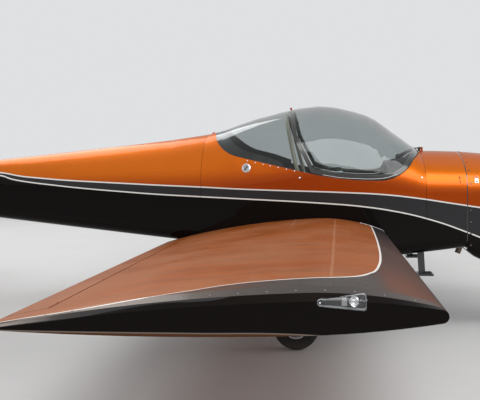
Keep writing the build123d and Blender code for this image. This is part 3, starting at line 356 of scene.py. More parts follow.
def blended(tree, share, first, second):
    """Number between the first and the second."""
    made = node(tree, "ShaderNodeMix", data_type="FLOAT")
    for socket, value in zip((made.inputs[0], made.inputs[2], made.inputs[3]), (share, first, second)):
        plug(tree, socket, value)
    return made.outputs[0]


def ramp(tree, value, low, high):
    """0 below the low value, 1 above the high one, smooth between."""
    made = node(tree, "ShaderNodeMapRange", interpolation_type="SMOOTHSTEP")
    for key, number in (("Value", value), ("From Min", low), ("From Max", high)):
        plug(tree, made.inputs[key], number)
    return made.outputs["Result"]


def curve(tree, value, points, low, high):
    """A height read off a smooth line through points of place and height."""
    places = [place for place, _ in points]
    start, length = places[0], places[-1] - places[0]
    share = calc(tree, "DIVIDE", minus(tree, value, start), length, clamp=True)
    made = node(tree, "ShaderNodeFloatCurve", {"Value": share})
    line = made.mapping.curves[0]
    while len(line.points) < len(points):
        line.points.new(0.5, 0.5)
    for point, (place, height) in zip(line.points, points):
        point.location = ((place - start) / length, (height - low) / (high - low))
    made.mapping.update()
    return calc(tree, "MULTIPLY_ADD", made.outputs[0], high - low, low)


def place_of(tree):
    """The point's place in the aeroplane's frame, as three numbers and a vector."""
    source = node(tree, "ShaderNodeTexCoord").outputs["Object"]
    split = node(tree, "ShaderNodeSeparateXYZ", {0: source})
    return source, *split.outputs


def noise(tree, vector, scale, detail=3.0, roughness=0.5, stretch=None):
    if stretch:
        vector = node(tree, "ShaderNodeMapping", {"Vector": vector, "Scale": stretch}).outputs[0]
    made = node(tree, "ShaderNodeTexNoise", {
        "Vector": vector, "Scale": scale, "Detail": detail, "Roughness": roughness})
    return made.outputs["Fac"]


def group(name, inputs, outputs):
    """An empty node group with its sockets, and its input and output nodes."""
    tree = bpy.data.node_groups.new(name, "ShaderNodeTree")
    for label, kind, default in inputs:
        socket = tree.interface.new_socket(label, in_out="INPUT", socket_type=kind)
        if default is not None:
            socket.default_value = default
    for label, kind in outputs:
        tree.interface.new_socket(label, in_out="OUTPUT", socket_type=kind)
    return tree, tree.nodes.new("NodeGroupInput"), tree.nodes.new("NodeGroupOutput")


def build_line_group():
    """White line: 1 within half a width of a distance of nought."""
    tree, given, result = group(
        "thin_line", [("Distance", "NodeSocketFloat", 0.0), ("Width", "NodeSocketFloat", 0.01)],
        [("Mask", "NodeSocketFloat")])
    gap = calc(tree, "ABSOLUTE", given.outputs["Distance"])
    half = calc(tree, "MULTIPLY", given.outputs["Width"], 0.5)
    mask = ramp(tree, minus(tree, gap, half), 0.0006, -0.0006)
    tree.links.new(mask, result.inputs["Mask"])


def build_dust_group():
    """Dust and streaks that lie on what faces up."""
    tree, given, result = group(
        "dust", [("Vector", "NodeSocketVector", None), ("Amount", "NodeSocketFloat", 0.5),
                 ("Scale", "NodeSocketFloat", 3.0)],
        [("Mask", "NodeSocketFloat")])
    broad = noise(tree, given.outputs["Vector"], given.outputs["Scale"], 5, 0.62)
    fine = noise(tree, given.outputs["Vector"], 60, 4, 0.7, stretch=(0.35, 1, 1))
    both = calc(tree, "MULTIPLY_ADD", fine, 0.35, calc(tree, "MULTIPLY", broad, 0.8))
    patches = ramp(tree, both, 0.42, 0.72)
    facing = ramp(tree, upward(tree), 0.1, 0.8)
    mask = calc(tree, "MULTIPLY", calc(tree, "MULTIPLY", patches, facing), given.outputs["Amount"])
    tree.links.new(mask, result.inputs["Mask"])


def build_flake_group():
    """Flakes of a metallic paint: a brightness and a fine sparkle in the normal."""
    tree, given, result = group(
        "flakes", [("Vector", "NodeSocketVector", None), ("Size", "NodeSocketFloat", 0.0012),
                   ("Depth", "NodeSocketFloat", 0.02)],
        [("Brightness", "NodeSocketFloat"), ("Normal", "NodeSocketVector")])
    scale = calc(tree, "DIVIDE", 1.0, given.outputs["Size"])
    cells = node(tree, "ShaderNodeTexVoronoi", {"Vector": given.outputs["Vector"], "Scale": scale})
    bright = node(tree, "ShaderNodeSeparateColor", {0: cells.outputs["Color"]}).outputs[0]
    tree.links.new(bright, result.inputs["Brightness"])
    peel = noise(tree, given.outputs["Vector"], 900, 2, 0.5)
    bump = node(tree, "ShaderNodeBump", {
        "Strength": given.outputs["Depth"], "Distance": 0.0004,
        "Height": calc(tree, "MULTIPLY_ADD", bright, 0.6, peel)})
    tree.links.new(bump.outputs[0], result.inputs["Normal"])


def build_grain_group():
    """Grain of a moulded or painted surface: a value and a bumped normal."""
    tree, given, result = group(
        "grain", [("Vector", "NodeSocketVector", None), ("Scale", "NodeSocketFloat", 400.0),
                  ("Depth", "NodeSocketFloat", 0.2)],
        [("Value", "NodeSocketFloat"), ("Normal", "NodeSocketVector")])
    value = noise(tree, given.outputs["Vector"], given.outputs["Scale"], 4, 0.6)
    tree.links.new(value, result.inputs["Value"])
    bump = node(tree, "ShaderNodeBump", {
        "Strength": given.outputs["Depth"], "Distance": 0.0006, "Height": value})
    tree.links.new(bump.outputs[0], result.inputs["Normal"])


def use_group(tree, name, **values):
    made = tree.nodes.new("ShaderNodeGroup")
    made.node_tree = bpy.data.node_groups[name]
    for key, value in values.items():
        plug(tree, made.inputs[key], value)
    return made.outputs


def thin_line(tree, distance, width):
    return use_group(tree, "thin_line", Distance=distance, Width=width)["Mask"]


def dusty(tree, vector, amount, scale):
    return use_group(tree, "dust", Vector=vector, Amount=amount, Scale=scale)["Mask"]


def flaked(tree, vector, paint):
    return use_group(tree, "flakes", Vector=vector, Size=paint.flake, Depth=FLAKE_DEPTH)


def grainy(tree, vector, scale, depth):
    return use_group(tree, "grain", Vector=vector, Scale=scale, Depth=depth)


def upward(tree):
    """How far the surface faces up, from -1 to 1."""
    normal = node(tree, "ShaderNodeNewGeometry").outputs["Normal"]
    return node(tree, "ShaderNodeSeparateXYZ", {0: normal}).outputs[2]


def minus(tree, value, other):
    return calc(tree, "SUBTRACT", value, other)


def without(tree, value, mask):
    """The value where a mask is 0, and 0 where it is 1."""
    return calc(tree, "MULTIPLY", value, minus(tree, 1.0, mask))


def new_material(name, **constants):
    """A material with one principled shader, whose plain numbers are set on its sockets."""
    material = bpy.data.materials.new(name)
    material.use_nodes = True
    tree = material.node_tree
    shader = tree.nodes["Principled BSDF"]
    for key, value in constants.items():
        socket = shader.inputs[key.replace("_", " ")]
        socket.default_value = (*value, 1) if hasattr(value, "__len__") and len(value) == 3 else value
    return material, tree, shader


def feed(tree, shader, **values):
    for key, value in values.items():
        tree.links.new(value, shader.inputs[key.replace("_", " ")])


# Materials
def candy(tree, vector, paint):
    """Translucent metallic colour: a painted highlight in yellow on what faces up, painted shade in red on
    the sides, deep red at a slant.
    """
    slant = node(tree, "ShaderNodeLayerWeight", {"Blend": 0.35}).outputs["Facing"]
    cloud = noise(tree, vector, 2.2, 3, 0.5)
    red, green, blue = paint.orange
    bright = mixed(tree, cloud, paint.orange, (red * 1.15, green * 1.15, blue * 1.15))
    # Painted light: the colour turns yellow where the surface faces up and deeper red on the sides, as
    # light from above would fall
    facing = ramp(tree, upward(tree), -0.05, 0.65)
    bright = mixed(tree, facing, (red * 0.64, green * 0.40, blue * 0.4), bright)
    return mixed(tree, ramp(tree, slant, 0.35, 0.95), bright, (red * 0.55, green * 0.34, blue * 0.4))


def inner_side(tree, x, y, z):
    """1 on the faces that look in at the middle of the fuselage, 0 on the skin outside."""
    normal = node(tree, "ShaderNodeNewGeometry").outputs["True Normal"]
    middle = calc(tree, "MULTIPLY_ADD", calc(tree, "MINIMUM", x, 0.0), -0.040, HUB_Z)
    outward = node(tree, "ShaderNodeCombineXYZ", {1: y, 2: minus(tree, z, middle)}).outputs[0]
    facing = node(tree, "ShaderNodeVectorMath", {0: normal, 1: outward}, operation="DOT_PRODUCT")
    return calc(tree, "LESS_THAN", facing.outputs["Value"], 0.0)


def fuselage_paint():
    """Orange above, black below, grey and two white lines between, and plain dark inside."""
    paint = bpy.context.scene.aeroplane_paint
    material, tree, shader = new_material(
        "fuselage_paint", Coat_Roughness=0.03, Specular_IOR_Level=0.05, **CANDY)
    vector, x, y, z = place_of(tree)
    over = minus(tree, z, curve(tree, x, UPPER_STRIPE, 0.3, 1.3))
    under = minus(tree, z, curve(tree, x, LOWER_STRIPE, 0.3, 1.3))
    lines = calc(tree, "MAXIMUM", *(thin_line(tree, gap, paint.line_width) for gap in (over, under)))
    orange = calc(tree, "GREATER_THAN", over, 0.0)
    grey = calc(tree, "GREATER_THAN", under, 0.0)
    flakes = flaked(tree, vector, paint)
    shade = calc(tree, "MULTIPLY_ADD", flakes["Brightness"], 0.5, 0.75)
    shades = node(tree, "ShaderNodeCombineColor", {0: shade, 1: shade, 2: shade}).outputs[0]
    # The orange carries the painted highlight on top and the painted shade on the sides from candy
    warm = mixed(tree, 1.0, candy(tree, vector, paint), shades, "MULTIPLY")
    dust = dusty(tree, vector, 0.03, 1.8)
    inside = inner_side(tree, x, y, z)
    lining = mixed(tree, noise(tree, vector, 14, 4, 0.6), (0.022, 0.022, 0.023), (0.035, 0.034, 0.033))
    colour = mixed(tree, grey, paint.black, paint.grey)
    for mask, laid in ((orange, warm), (lines, paint.line), (joint_mask(tree, x), (0.004, 0.003, 0.002)),
                       (dust, (0.30, 0.14, 0.05)), (inside, lining)):
        colour = mixed(tree, mask, colour, laid)
    metal = calc(tree, "MULTIPLY_ADD", grey, 0.20, calc(tree, "MULTIPLY", orange, 0.45))
    metal = without(tree, without(tree, metal, lines), inside)
    rough = calc(tree, "ADD", blended(tree, orange, 0.25, 0.34), calc(tree, "MULTIPLY", dust, 1.2))
    rough = blended(tree, inside, rough, 0.75)
    coat = without(tree, blended(tree, orange, 0.20, 0.35), inside)
    feed(tree, shader, Base_Color=colour, Metallic=metal, Roughness=rough, Coat_Weight=coat,
         Normal=flakes["Normal"])
    return material


def joint_mask(tree, x):
    """Dark joint lines across the fuselage."""
    masks = [thin_line(tree, minus(tree, x, station), 0.0028) for station in FUSELAGE_JOINTS]
    return calc(tree, "MULTIPLY", calc(tree, "MAXIMUM", *masks), 0.8)


def wing_field(tree, aft, out):
    """Distance inside the painted field of the wing: above nought in it."""
    from_nose = minus(tree, aft, curve(tree, out, NOSE_STRIPE, 0.05, 0.25))
    from_tip = minus(tree, minus(tree, TIP_Y, out), curve(tree, aft, TIP_STRIPE, 0.0, 0.3))
    return calc(tree, "SMOOTH_MIN", from_nose, from_tip, 0.30)


def wing_paint():
    """A weathered orange field inside a white line, with grey round it and black end faces."""
    paint = bpy.context.scene.aeroplane_paint
    material, tree, shader = new_material(
        "wing_paint", Coat_Roughness=0.10, Specular_IOR_Level=0.06, **CANDY)
    vector, x, y, z = place_of(tree)
    aft, out = minus(tree, WING_X, x), calc(tree, "ABSOLUTE", y)
    inside = wing_field(tree, aft, out)
    line = thin_line(tree, inside, paint.line_width)
    field = calc(tree, "GREATER_THAN", inside, 0.0)
    face = calc(tree, "MULTIPLY", calc(tree, "GREATER_THAN", out, TIP_Y - TIP_FACE_DEPTH),
                calc(tree, "LESS_THAN", z, curve(tree, x, TIP_BAND, 0.5, 1.0)))
    low = minus(tree, z, curve(tree, x, TIP_LINE, 0.5, 0.8))
    low_line = thin_line(tree, low, paint.line_width * 0.5)
    flakes = flaked(tree, vector, paint)
    dust = dusty(tree, vector, 0.60, 2.4)
    tapes = wing_tapes(tree, aft, out)
    streaks = noise(tree, vector, 5.0, 5, 0.6, stretch=(0.5, 2.2, 1))
    streak = tuple(part * 0.55 for part in paint.orange)
    skin = mixed(tree, ramp(tree, streaks, 0.35, 0.7), paint.wing, streak)
    skin = mixed(tree, dust, skin, (0.33, 0.135, 0.065))
    skin = mixed(tree, calc(tree, "MULTIPLY", tapes, 0.55), skin, (0.40, 0.18, 0.095))
    colour = paint.grey
    for mask, laid in (
            (field, skin), (line, paint.line), (face, paint.black),
            (calc(tree, "MULTIPLY", face, low_line), (0.16, 0.13, 0.11)),
            (calc(tree, "MULTIPLY", face, calc(tree, "LESS_THAN", low, -paint.line_width / 4)),
             (0.075, 0.030, 0.012))):
        colour = mixed(tree, mask, colour, laid)
    shine = without(tree, minus(tree, 1.0, field), face)
    metal = calc(tree, "MULTIPLY", shine, calc(tree, "MULTIPLY_ADD", line, -0.20, 0.20))
    metal = calc(tree, "MULTIPLY_ADD", field, 0.12, metal)
    rough = blended(tree, field, 0.36, calc(tree, "MULTIPLY_ADD", dust, 0.25, 0.34))
    coat = calc(tree, "MULTIPLY", calc(tree, "MULTIPLY_ADD", field, -0.13, 0.20),
                calc(tree, "MULTIPLY_ADD", face, -0.5, 1.0))
    ripple = noise(tree, vector, 7.0, 3, 0.5, stretch=(1.0, 0.45, 1))
    crease = noise(tree, vector, 38.0, 3, 0.6, stretch=(0.4, 1.0, 1))
    height = calc(tree, "MULTIPLY_ADD", crease, 0.10, ripple)
    height = calc(tree, "MULTIPLY_ADD", tapes, 0.12, height)
    bump = node(tree, "ShaderNodeBump", {
        "Strength": 0.5, "Distance": 0.006, "Height": height, "Normal": flakes["Normal"]})
    feed(tree, shader, Base_Color=colour, Metallic=metal, Roughness=rough, Coat_Weight=coat,
         Normal=bump.outputs[0])
    return material


def wing_tapes(tree, aft, out):
    """Raised tapes over the spar, along its whole length, and beside the root."""
    spar = thin_line(tree, minus(tree, aft, calc(tree, "MULTIPLY_ADD", out, 0.0113, 0.331)), 0.012)
    second = thin_line(tree, minus(tree, aft, 0.610), 0.012)
    return calc(tree, "MAXIMUM", spar, calc(tree, "MULTIPLY", second, ramp(tree, out, 1.15, 0.95)))


def tail_paint():
    """Orange of the tail surfaces, with a grey nose and a line behind it."""
    paint = bpy.context.scene.aeroplane_paint
    material, tree, shader = new_material(
        "tail_paint", Coat_Weight=0.30, Coat_Roughness=0.05, Specular_IOR_Level=0.05, **CANDY)
    vector, x, _, z = place_of(tree)
    flakes = flaked(tree, vector, paint)
    dust = dusty(tree, vector, 0.25, 3.0)
    fin_nose = calc(tree, "MULTIPLY_ADD", minus(tree, z, FIN_FOOT[1]), FIN_SLOPE, FIN_FOOT[0])
    on_fin = calc(tree, "GREATER_THAN", z, FIN_FOOT[1] + 0.005)
    gap = blended(tree, on_fin, minus(tree, TAILPLANE_NOSE_X - TAIL_NOSE_BAND, x),
                  minus(tree, minus(tree, fin_nose, TAIL_NOSE_BAND), x))
    line = thin_line(tree, gap, paint.line_width)
    nose = calc(tree, "LESS_THAN", gap, 0.0)
    # The orange carries the painted highlight on top and the painted shade on the sides from candy
    colour = mixed(tree, dust, candy(tree, vector, paint), (0.36, 0.16, 0.07))
    colour = mixed(tree, nose, colour, paint.grey)
    colour = mixed(tree, line, colour, paint.line)
    metal = without(tree, blended(tree, nose, 0.40, 0.65), line)
    rough = calc(tree, "MULTIPLY_ADD", dust, 0.4, 0.26)
    feed(tree, shader, Base_Color=colour, Metallic=metal, Roughness=rough, Normal=flakes["Normal"])
    return material


def grained(name, colour, other, roughness, scale=350.0, depth=0.2, metallic=0.0, coat=0.0, spread=0.12):
    """A plain finish with a grain: two close colours, a changing roughness and a bump."""
    material, tree, shader = new_material(
        name, Metallic=metallic, Coat_Weight=coat, Coat_Roughness=0.08)
    vector, *_ = place_of(tree)
    grain = grainy(tree, vector, scale, depth)
    broad = noise(tree, vector, 9.0, 4, 0.6)
    colour = mixed(tree, broad, colour, other)
    rough = calc(tree, "MULTIPLY_ADD", grain["Value"], spread, roughness - spread / 2)
    feed(tree, shader, Base_Color=colour, Roughness=rough, Normal=grain["Normal"])
    return material


def clear_material(name, colour, roughness, ior):
    """Glass or clear plastic that lets light through to what is behind it."""
    material, tree, shader = new_material(
        name, Transmission_Weight=1.0, Roughness=roughness, IOR=ior)
    vector, *_ = place_of(tree)
    smear = ramp(tree, noise(tree, vector, 6.0, 5, 0.65), 0.45, 0.8)
    feed(tree, shader, Base_Color=mixed(tree, smear, colour, tuple(part * 0.95 for part in colour)))
    path = node(tree, "ShaderNodeLightPath")
    passing = node(tree, "ShaderNodeBsdfTransparent", {"Color": (*colour, 1)})
    both = node(tree, "ShaderNodeMixShader")
    tree.links.new(path.outputs["Is Shadow Ray"], both.inputs[0])
    tree.links.new(shader.outputs[0], both.inputs[1])
    tree.links.new(passing.outputs[0], both.inputs[2])
    tree.links.new(both.outputs[0], tree.nodes["Material Output"].inputs["Surface"])
    return material


def cloth_material(name, colour, thread):
    """Woven seat cloth with crossing threads."""
    material, tree, shader = new_material(name, Sheen_Weight=0.35, Sheen_Roughness=0.5)
    vector, *_ = place_of(tree)
    height = None
    for direction, low in (("X", 0.0), ("Y", 0.5)):
        wave = node(tree, "ShaderNodeTexWave", {"Vector": vector, "Scale": 220.0, "Phase Offset": low},
                    bands_direction=direction).outputs["Fac"]
        height = wave if height is None else calc(tree, "MAXIMUM", height, wave)
    fuzz = noise(tree, vector, 500, 3, 0.6)
    broad = noise(tree, vector, 12, 4, 0.6)
    base = mixed(tree, broad, colour, thread)
    base = mixed(tree, calc(tree, "MULTIPLY", height, 0.5), base, tuple(part * 1.7 for part in thread))
    bump = node(tree, "ShaderNodeBump", {
        "Strength": 0.35, "Distance": 0.0008, "Height": calc(tree, "MULTIPLY_ADD", fuzz, 0.4, height)})
    rough = calc(tree, "MULTIPLY_ADD", fuzz, 0.2, 0.72)
    feed(tree, shader, Base_Color=base, Roughness=rough, Normal=bump.outputs[0])
    return material


def rubber_material():
    material, tree, shader = new_material("rubber", Specular_IOR_Level=0.35)
    vector, _, _, z = place_of(tree)
    grain = grainy(tree, vector, 500.0, 0.25)
    dust = noise(tree, vector, 14.0, 5, 0.65)
    colour = mixed(tree, ramp(tree, dust, 0.45, 0.75), (0.014, 0.014, 0.015), (0.065, 0.058, 0.050))
    low = calc(tree, "MULTIPLY", ramp(tree, z, 0.10, 0.0), 0.5)
    colour = mixed(tree, low, colour, (0.10, 0.085, 0.07))
    rough = calc(tree, "MULTIPLY_ADD", grain["Value"], 0.2, 0.66)
    feed(tree, shader, Base_Color=colour, Roughness=rough, Normal=grain["Normal"])
    return material


def make_materials():
    for build in (build_line_group, build_dust_group, build_flake_group, build_grain_group):
        build()
    made = {
        "fuselage": fuselage_paint(),
        "wing": wing_paint(),
        "tail": tail_paint(),
        "propeller": propeller_paint(),
        "spinner": spinner_paint(),
        "rubber": rubber_material(),
        "glazing": clear_material("glazing", (0.60, 0.635, 0.635), 0.0, 1.35),
        "lamp_glass": clear_material("lamp_glass", (0.95, 0.96, 0.97), 0.02, 1.45),
        "cloth": cloth_material("seat_cloth", (0.035, 0.036, 0.04), (0.06, 0.06, 0.065)),
        "webbing": cloth_material("webbing", (0.020, 0.020, 0.022), (0.04, 0.04, 0.042)),
    }
    # Key, name, two colours, roughness, grain's scale and depth, metal, coat, spread of the roughness
    for key, *values in (
        ("frame", "frame_paint", (0.045, 0.047, 0.030), (0.075, 0.076, 0.050), 0.42, 300, 0.15, 0.3),
        ("edge", "edge_paint", (0.010, 0.010, 0.009), (0.018, 0.018, 0.015), 0.25, 300, 0.1, 0.1, 0.8),
        ("bow", "bow_paint", (0.30, 0.27, 0.20), (0.40, 0.37, 0.29), 0.40, 300, 0.15, 0.2),
        ("gear", "gear_paint", (0.022, 0.022, 0.024), (0.04, 0.04, 0.043), 0.34, 260, 0.15, 0.2, 0.4),
        ("steel", "steel", (0.42, 0.42, 0.43), (0.30, 0.29, 0.28), 0.34, 700, 0.2, 1.0),
        ("burnt_steel", "burnt_steel", (0.23, 0.17, 0.13), (0.10, 0.085, 0.08), 0.45, 200, 0.3, 0.9),
        ("chrome", "chrome", (0.80, 0.80, 0.80), (0.72, 0.72, 0.72), 0.14, 500, 0.05, 1.0, 0.0, 0.06),
        ("aluminium", "aluminium", (0.68, 0.69, 0.70), (0.55, 0.56, 0.57), 0.30, 600, 0.15, 1.0),
        ("cast", "engine_metal", (0.14, 0.14, 0.145), (0.09, 0.09, 0.09), 0.55, 220, 0.4, 0.7),
        ("trim", "cabin_trim", (0.035, 0.035, 0.037), (0.055, 0.054, 0.053), 0.72, 420, 0.35),
        ("carpet", "carpet", (0.045, 0.043, 0.042), (0.075, 0.07, 0.066), 0.92, 900, 0.9),
        ("display", "display_glass", (0.006, 0.010, 0.015), (0.010, 0.016, 0.024), 0.10, 500, 0.05,
         0.0, 0.5),
        ("dial", "dial_black", (0.008, 0.008, 0.009), (0.012, 0.012, 0.013), 0.5, 500, 0.1),
        ("liner", "lamp_liner", (0.45, 0.45, 0.46), (0.38, 0.38, 0.39), 0.35, 500, 0.1, 0.4),
        ("mark", "mark_white", (0.75, 0.74, 0.71), (0.68, 0.67, 0.64), 0.5, 500, 0.1),
        ("red", "red_knob", (0.45, 0.012, 0.008), (0.35, 0.01, 0.008), 0.35, 500, 0.1, 0.0, 0.4),
    ):
        made[key] = grained(*values)
    return made


def spinner_paint():
    """Orange with a plain metal back plate."""
    paint = bpy.context.scene.aeroplane_paint
    material, tree, shader = new_material(
        "spinner_paint", Metallic=0.4, Coat_Weight=0.4, Coat_Roughness=0.035, Specular_IOR_Level=0.05,
        **CANDY)
    vector, x, *_ = place_of(tree)
    back = calc(tree, "LESS_THAN", x, BACK_PLATE_X)
    # The orange carries the painted highlight on top and the painted shade on the sides from candy
    colour = mixed(tree, back, candy(tree, vector, paint), (0.35, 0.35, 0.36))
    feed(tree, shader, Base_Color=colour, Roughness=blended(tree, back, 0.24, 0.38),
         Normal=flaked(tree, vector, paint)["Normal"])
    return material


def propeller_paint():
    """Black lacquer with a light band near each blade's tip."""
    material, tree, shader = new_material("propeller_black", Coat_Weight=0.6, Coat_Roughness=0.08)
    vector, _, y, z = place_of(tree)
    grain = grainy(tree, vector, 500.0, 0.1)
    flat = node(tree, "ShaderNodeCombineXYZ", {1: y, 2: minus(tree, z, HUB_Z)}).outputs[0]
    radius = node(tree, "ShaderNodeVectorMath", {0: flat}, operation="LENGTH").outputs["Value"]
    band = thin_line(tree, minus(tree, radius, TIP_MARK_RADIUS), TIP_MARK_WIDTH)
    colour = mixed(tree, noise(tree, vector, 9.0, 4, 0.6), (0.012, 0.012, 0.013), (0.022, 0.022, 0.023))
    colour = mixed(tree, band, colour, bpy.context.scene.aeroplane_paint.line)
    rough = calc(tree, "MULTIPLY_ADD", grain["Value"], 0.12, 0.18)
    feed(tree, shader, Base_Color=colour, Roughness=rough, Normal=grain["Normal"])
    return material


MATERIALS = {}
NODE_MATERIALS = {
    "fuselage": (
        "cabin_tub", "tail_cone", "forward_deck", "cowling_upper", "cowling_lower", "canopy_hinge"),
    "wing": (
        "wing_right", "wing_left", "wing_tip_right", "wing_tip_left",
        "aileron_right", "aileron_left", "flap_right", "flap_left"),
    "tail": ("tailplane", "fin", "elevator", "rudder"),
    "glazing": ("canopy_glass", "rear_window"),
    "lamp_glass": ("tip_lamp_right", "tip_lamp_left"),
    "edge": ("canopy_frame", "firewall"),
    "bow": ("roll_bar",),
    "trim": ("control_sticks", "instrument_panel", "seat_base"),
    "carpet": ("rear_bulkhead",),
    "cast": ("engine",),
    "gear": ("nose_leg", "nose_fork", "main_leg_right", "main_leg_left", "boarding_steps"),
    "steel": ("tie_down_eyes",),
    "burnt_steel": ("exhaust_pipe",),
    "aluminium": ("fuel_cap", "wheel_nose", "wheel_main_right", "wheel_main_left"),
    "cloth": ("seat_right", "seat_left"),
    "propeller": ("propeller",),
    "spinner": ("spinner",),
    "rubber": ("tyre_nose", "tyre_main_right", "tyre_main_left"),
}


def dress_nodes():
    for key, names in NODE_MATERIALS.items():
        for name in names:
            data = NODES[name].data
            data.materials.clear()
            data.materials.append(MATERIALS[key])


# Stage
FLOOR_RADIUS = 30
SENSOR_WIDTH = 36
# Name, place, size and power of each lamp, and the point that they all face
LAMPS = (
    ("key", (3.0, -6.5, 8.0), 7.0, 620),
    ("rim", (-5.0, 6.0, 6.5), 6.0, 300),
    ("fill", (9.0, 1.0, 5.0), 5.0, 200),
)
LIT_POINT = Vector((0, 0, 0.8))


def build_stage():
    bpy.ops.mesh.primitive_circle_add(
        vertices=128, radius=FLOOR_RADIUS, fill_type="NGON", location=(0, 0, 0))
    floor = bpy.context.object
    floor.name = "floor"
    material, tree, shader = new_material("floor_grey", Roughness=0.55)
    vector, *_ = place_of(tree)
    shade = mixed(tree, noise(tree, vector, 1.5, 4, 0.6), (0.60, 0.60, 0.60), (0.66, 0.66, 0.655))
    feed(tree, shader, Base_Color=shade)
    floor.data.materials.append(material)

    world = bpy.data.worlds.new("studio")
    world.use_nodes = True
    tree = world.node_tree
    plain = tree.nodes["Background"]
    plain.inputs["Color"].default_value = (1.0, 1.0, 1.0, 1)
    plain.inputs["Strength"].default_value = 0.50
    shown = node(tree, "ShaderNodeBackground", {"Color": (0.74, 0.75, 0.76, 1), "Strength": 1.0})
    path = node(tree, "ShaderNodeLightPath")
    seen = calc(tree, "MAXIMUM", path.outputs["Is Camera Ray"], path.outputs["Is Glossy Ray"])
    seen = calc(tree, "MAXIMUM", seen, path.outputs["Is Transmission Ray"])
    both = node(tree, "ShaderNodeMixShader")
    tree.links.new(seen, both.inputs[0])
    tree.links.new(plain.outputs[0], both.inputs[1])
    tree.links.new(shown.outputs[0], both.inputs[2])
    tree.links.new(both.outputs[0], tree.nodes["World Output"].inputs["Surface"])
    bpy.context.scene.world = world

    for name, place, size, power in LAMPS:
        lamp = bpy.data.lights.new(name, "AREA")
        lamp.energy = power
        lamp.size = size
        holder = bpy.data.objects.new(name, lamp)
        holder.location = place
        holder.rotation_euler = (LIT_POINT - Vector(place)).to_track_quat("-Z", "Y").to_euler()
        bpy.context.scene.collection.objects.link(holder)


def build_camera():
    view = bpy.context.scene.aeroplane_camera
    ahead = Vector((-math.sin(view.yaw), math.cos(view.yaw), 0))
    right = Vector((math.cos(view.yaw), math.sin(view.yaw), 0))
    up = Vector(UP)
    look = ahead * math.cos(view.pitch) - up * math.sin(view.pitch)
    top = up * math.cos(view.pitch) + ahead * math.sin(view.pitch)
    across = right * math.cos(view.roll) + top * math.sin(view.roll)
    upright = top * math.cos(view.roll) - right * math.sin(view.roll)
    data = bpy.data.cameras.new("camera")
    data.lens = view.lens
    data.sensor_width = SENSOR_WIDTH
    camera = bpy.data.objects.new("camera", data)
    place = Matrix((across, upright, -look)).transposed().to_4x4()
    place.translation = Vector(view.place)
    camera.matrix_world = place
    bpy.context.scene.collection.objects.link(camera)
    bpy.context.scene.camera = camera
    bpy.context.scene.view_settings.view_transform = "Standard"


class AEROPLANE_OT_stage(bpy.types.Operator):
    """Camera, floor, lights and the paint of every solid"""

    bl_idname = "aeroplane.stage"
    bl_label = "Stage and paint"

    def execute(self, context):
        build_camera()
        build_stage()
        MATERIALS.update(make_materials())
        dress_nodes()
        return {"FINISHED"}


# Small parts that repeat
def placed(source, centre, axis, spin=0.0):
    """A copy of a part that was made at the origin, standing along an axis, its Y as far up as it goes."""
    made = copied(source)
    out = Vector(axis).normalized()
    up = Vector((1, 0, 0) if abs(out.z) > NEARLY_UPRIGHT else UP)
    up = (up - out * out.dot(up)).normalized()
    turn = Matrix((up.cross(out), up, out)).transposed().to_4x4()
    made.matrix_world = Matrix.Translation(Vector(centre)) @ turn @ Matrix.Rotation(spin, 4, "Z")
    return freeze(made)


def hex_bolt(radius, height):
    """A six-sided head on a washer, at the origin, standing along Z."""
    deselect()
    bpy.ops.mesh.primitive_cylinder_add(
        vertices=6, radius=radius, depth=height, location=(0, 0, height / 2 + radius * 0.15))
    head = bevelled(bpy.context.object, radius * 0.12)
    washer = turned([
        (0.0, radius * 0.1), (0.0, radius * 1.32), (radius * 0.10, radius * 1.38),
        (radius * 0.18, radius * 1.3), (radius * 0.18, radius * 0.1)], 24)
    return smooth(join([head, washer]))


def screw_head(radius, height):
    """A domed screw head with a recess in it, at the origin, standing along Z."""
    return turned([
        (0, radius), (height * 0.45, radius * 0.97), (height * 0.8, radius * 0.78),
        (height, radius * 0.4), (height * 0.6, radius * 0.32), (height * 0.55, 0)], 12)


def quarter_turn(radius):
    """A flush fastener with a raised bar across its dish, at the origin, along Z."""
    dish = turned([
        (0, radius), (0.0008, radius), (0.0015, radius * 0.9), (0.0015, radius * 0.66),
        (0.0005, radius * 0.58), (0.0005, 0)], 16)
    bar = block((-radius * 0.52, -radius * 0.13, 0), (radius * 0.52, radius * 0.13, 0.0017), 0.0003, 1)
    return smooth(join([dish, bar]))


def many(source, name, material, places, body="airframe"):
    """Copies of a part in one mesh. Each place is a centre, an axis and, if it has one, a spin."""
    return settle(join([placed(source, *place) for place in places]), name, material, body)


def drop(*pieces):
    """Takes away parts that were only made to be copied."""
    for piece in pieces:
        bpy.data.objects.remove(piece)


def block(corner, opposite, rounding, segments=2):
    """A block between two opposite corners, with rounded edges."""
    low = Vector([min(pair) for pair in zip(corner, opposite)])
    high = Vector([max(pair) for pair in zip(corner, opposite)])
    deselect()
    bpy.ops.mesh.primitive_cube_add(size=1, location=(low + high) / 2)
    made = bpy.context.object
    made.scale = high - low
    freeze(made)
    if rounding:
        smooth(bevelled(made, rounding, segments))
    return made


def taper(piece, test, factors, centre):
    """Resizes the faces that pass a test about a point, and gives the piece back."""
    edit(piece)
    pick(piece, test)
    bpy.ops.transform.resize(value=factors, center_override=centre)
    leave()
    return piece


def tube(points, radius, cyclic=False, resolution=6, sides=4):
    """A round tube that bends smoothly through points."""
    deselect()
    bpy.ops.curve.primitive_bezier_curve_add(location=(0, 0, 0))
    line = bpy.context.object.data
    spline = line.splines[0]
    spline.bezier_points.add(len(points) - 2)
    for point, place in zip(spline.bezier_points, points):
        point.co = place
        point.handle_left_type = point.handle_right_type = "AUTO"
    spline.use_cyclic_u = cyclic
    line.dimensions = "3D"
    line.resolution_u = resolution
    line.bevel_depth = radius
    line.bevel_resolution = sides
    line.use_fill_caps = not cyclic
    bpy.ops.object.convert(target="MESH")
    return smooth(face_outward(bpy.context.object, TOUCHING))


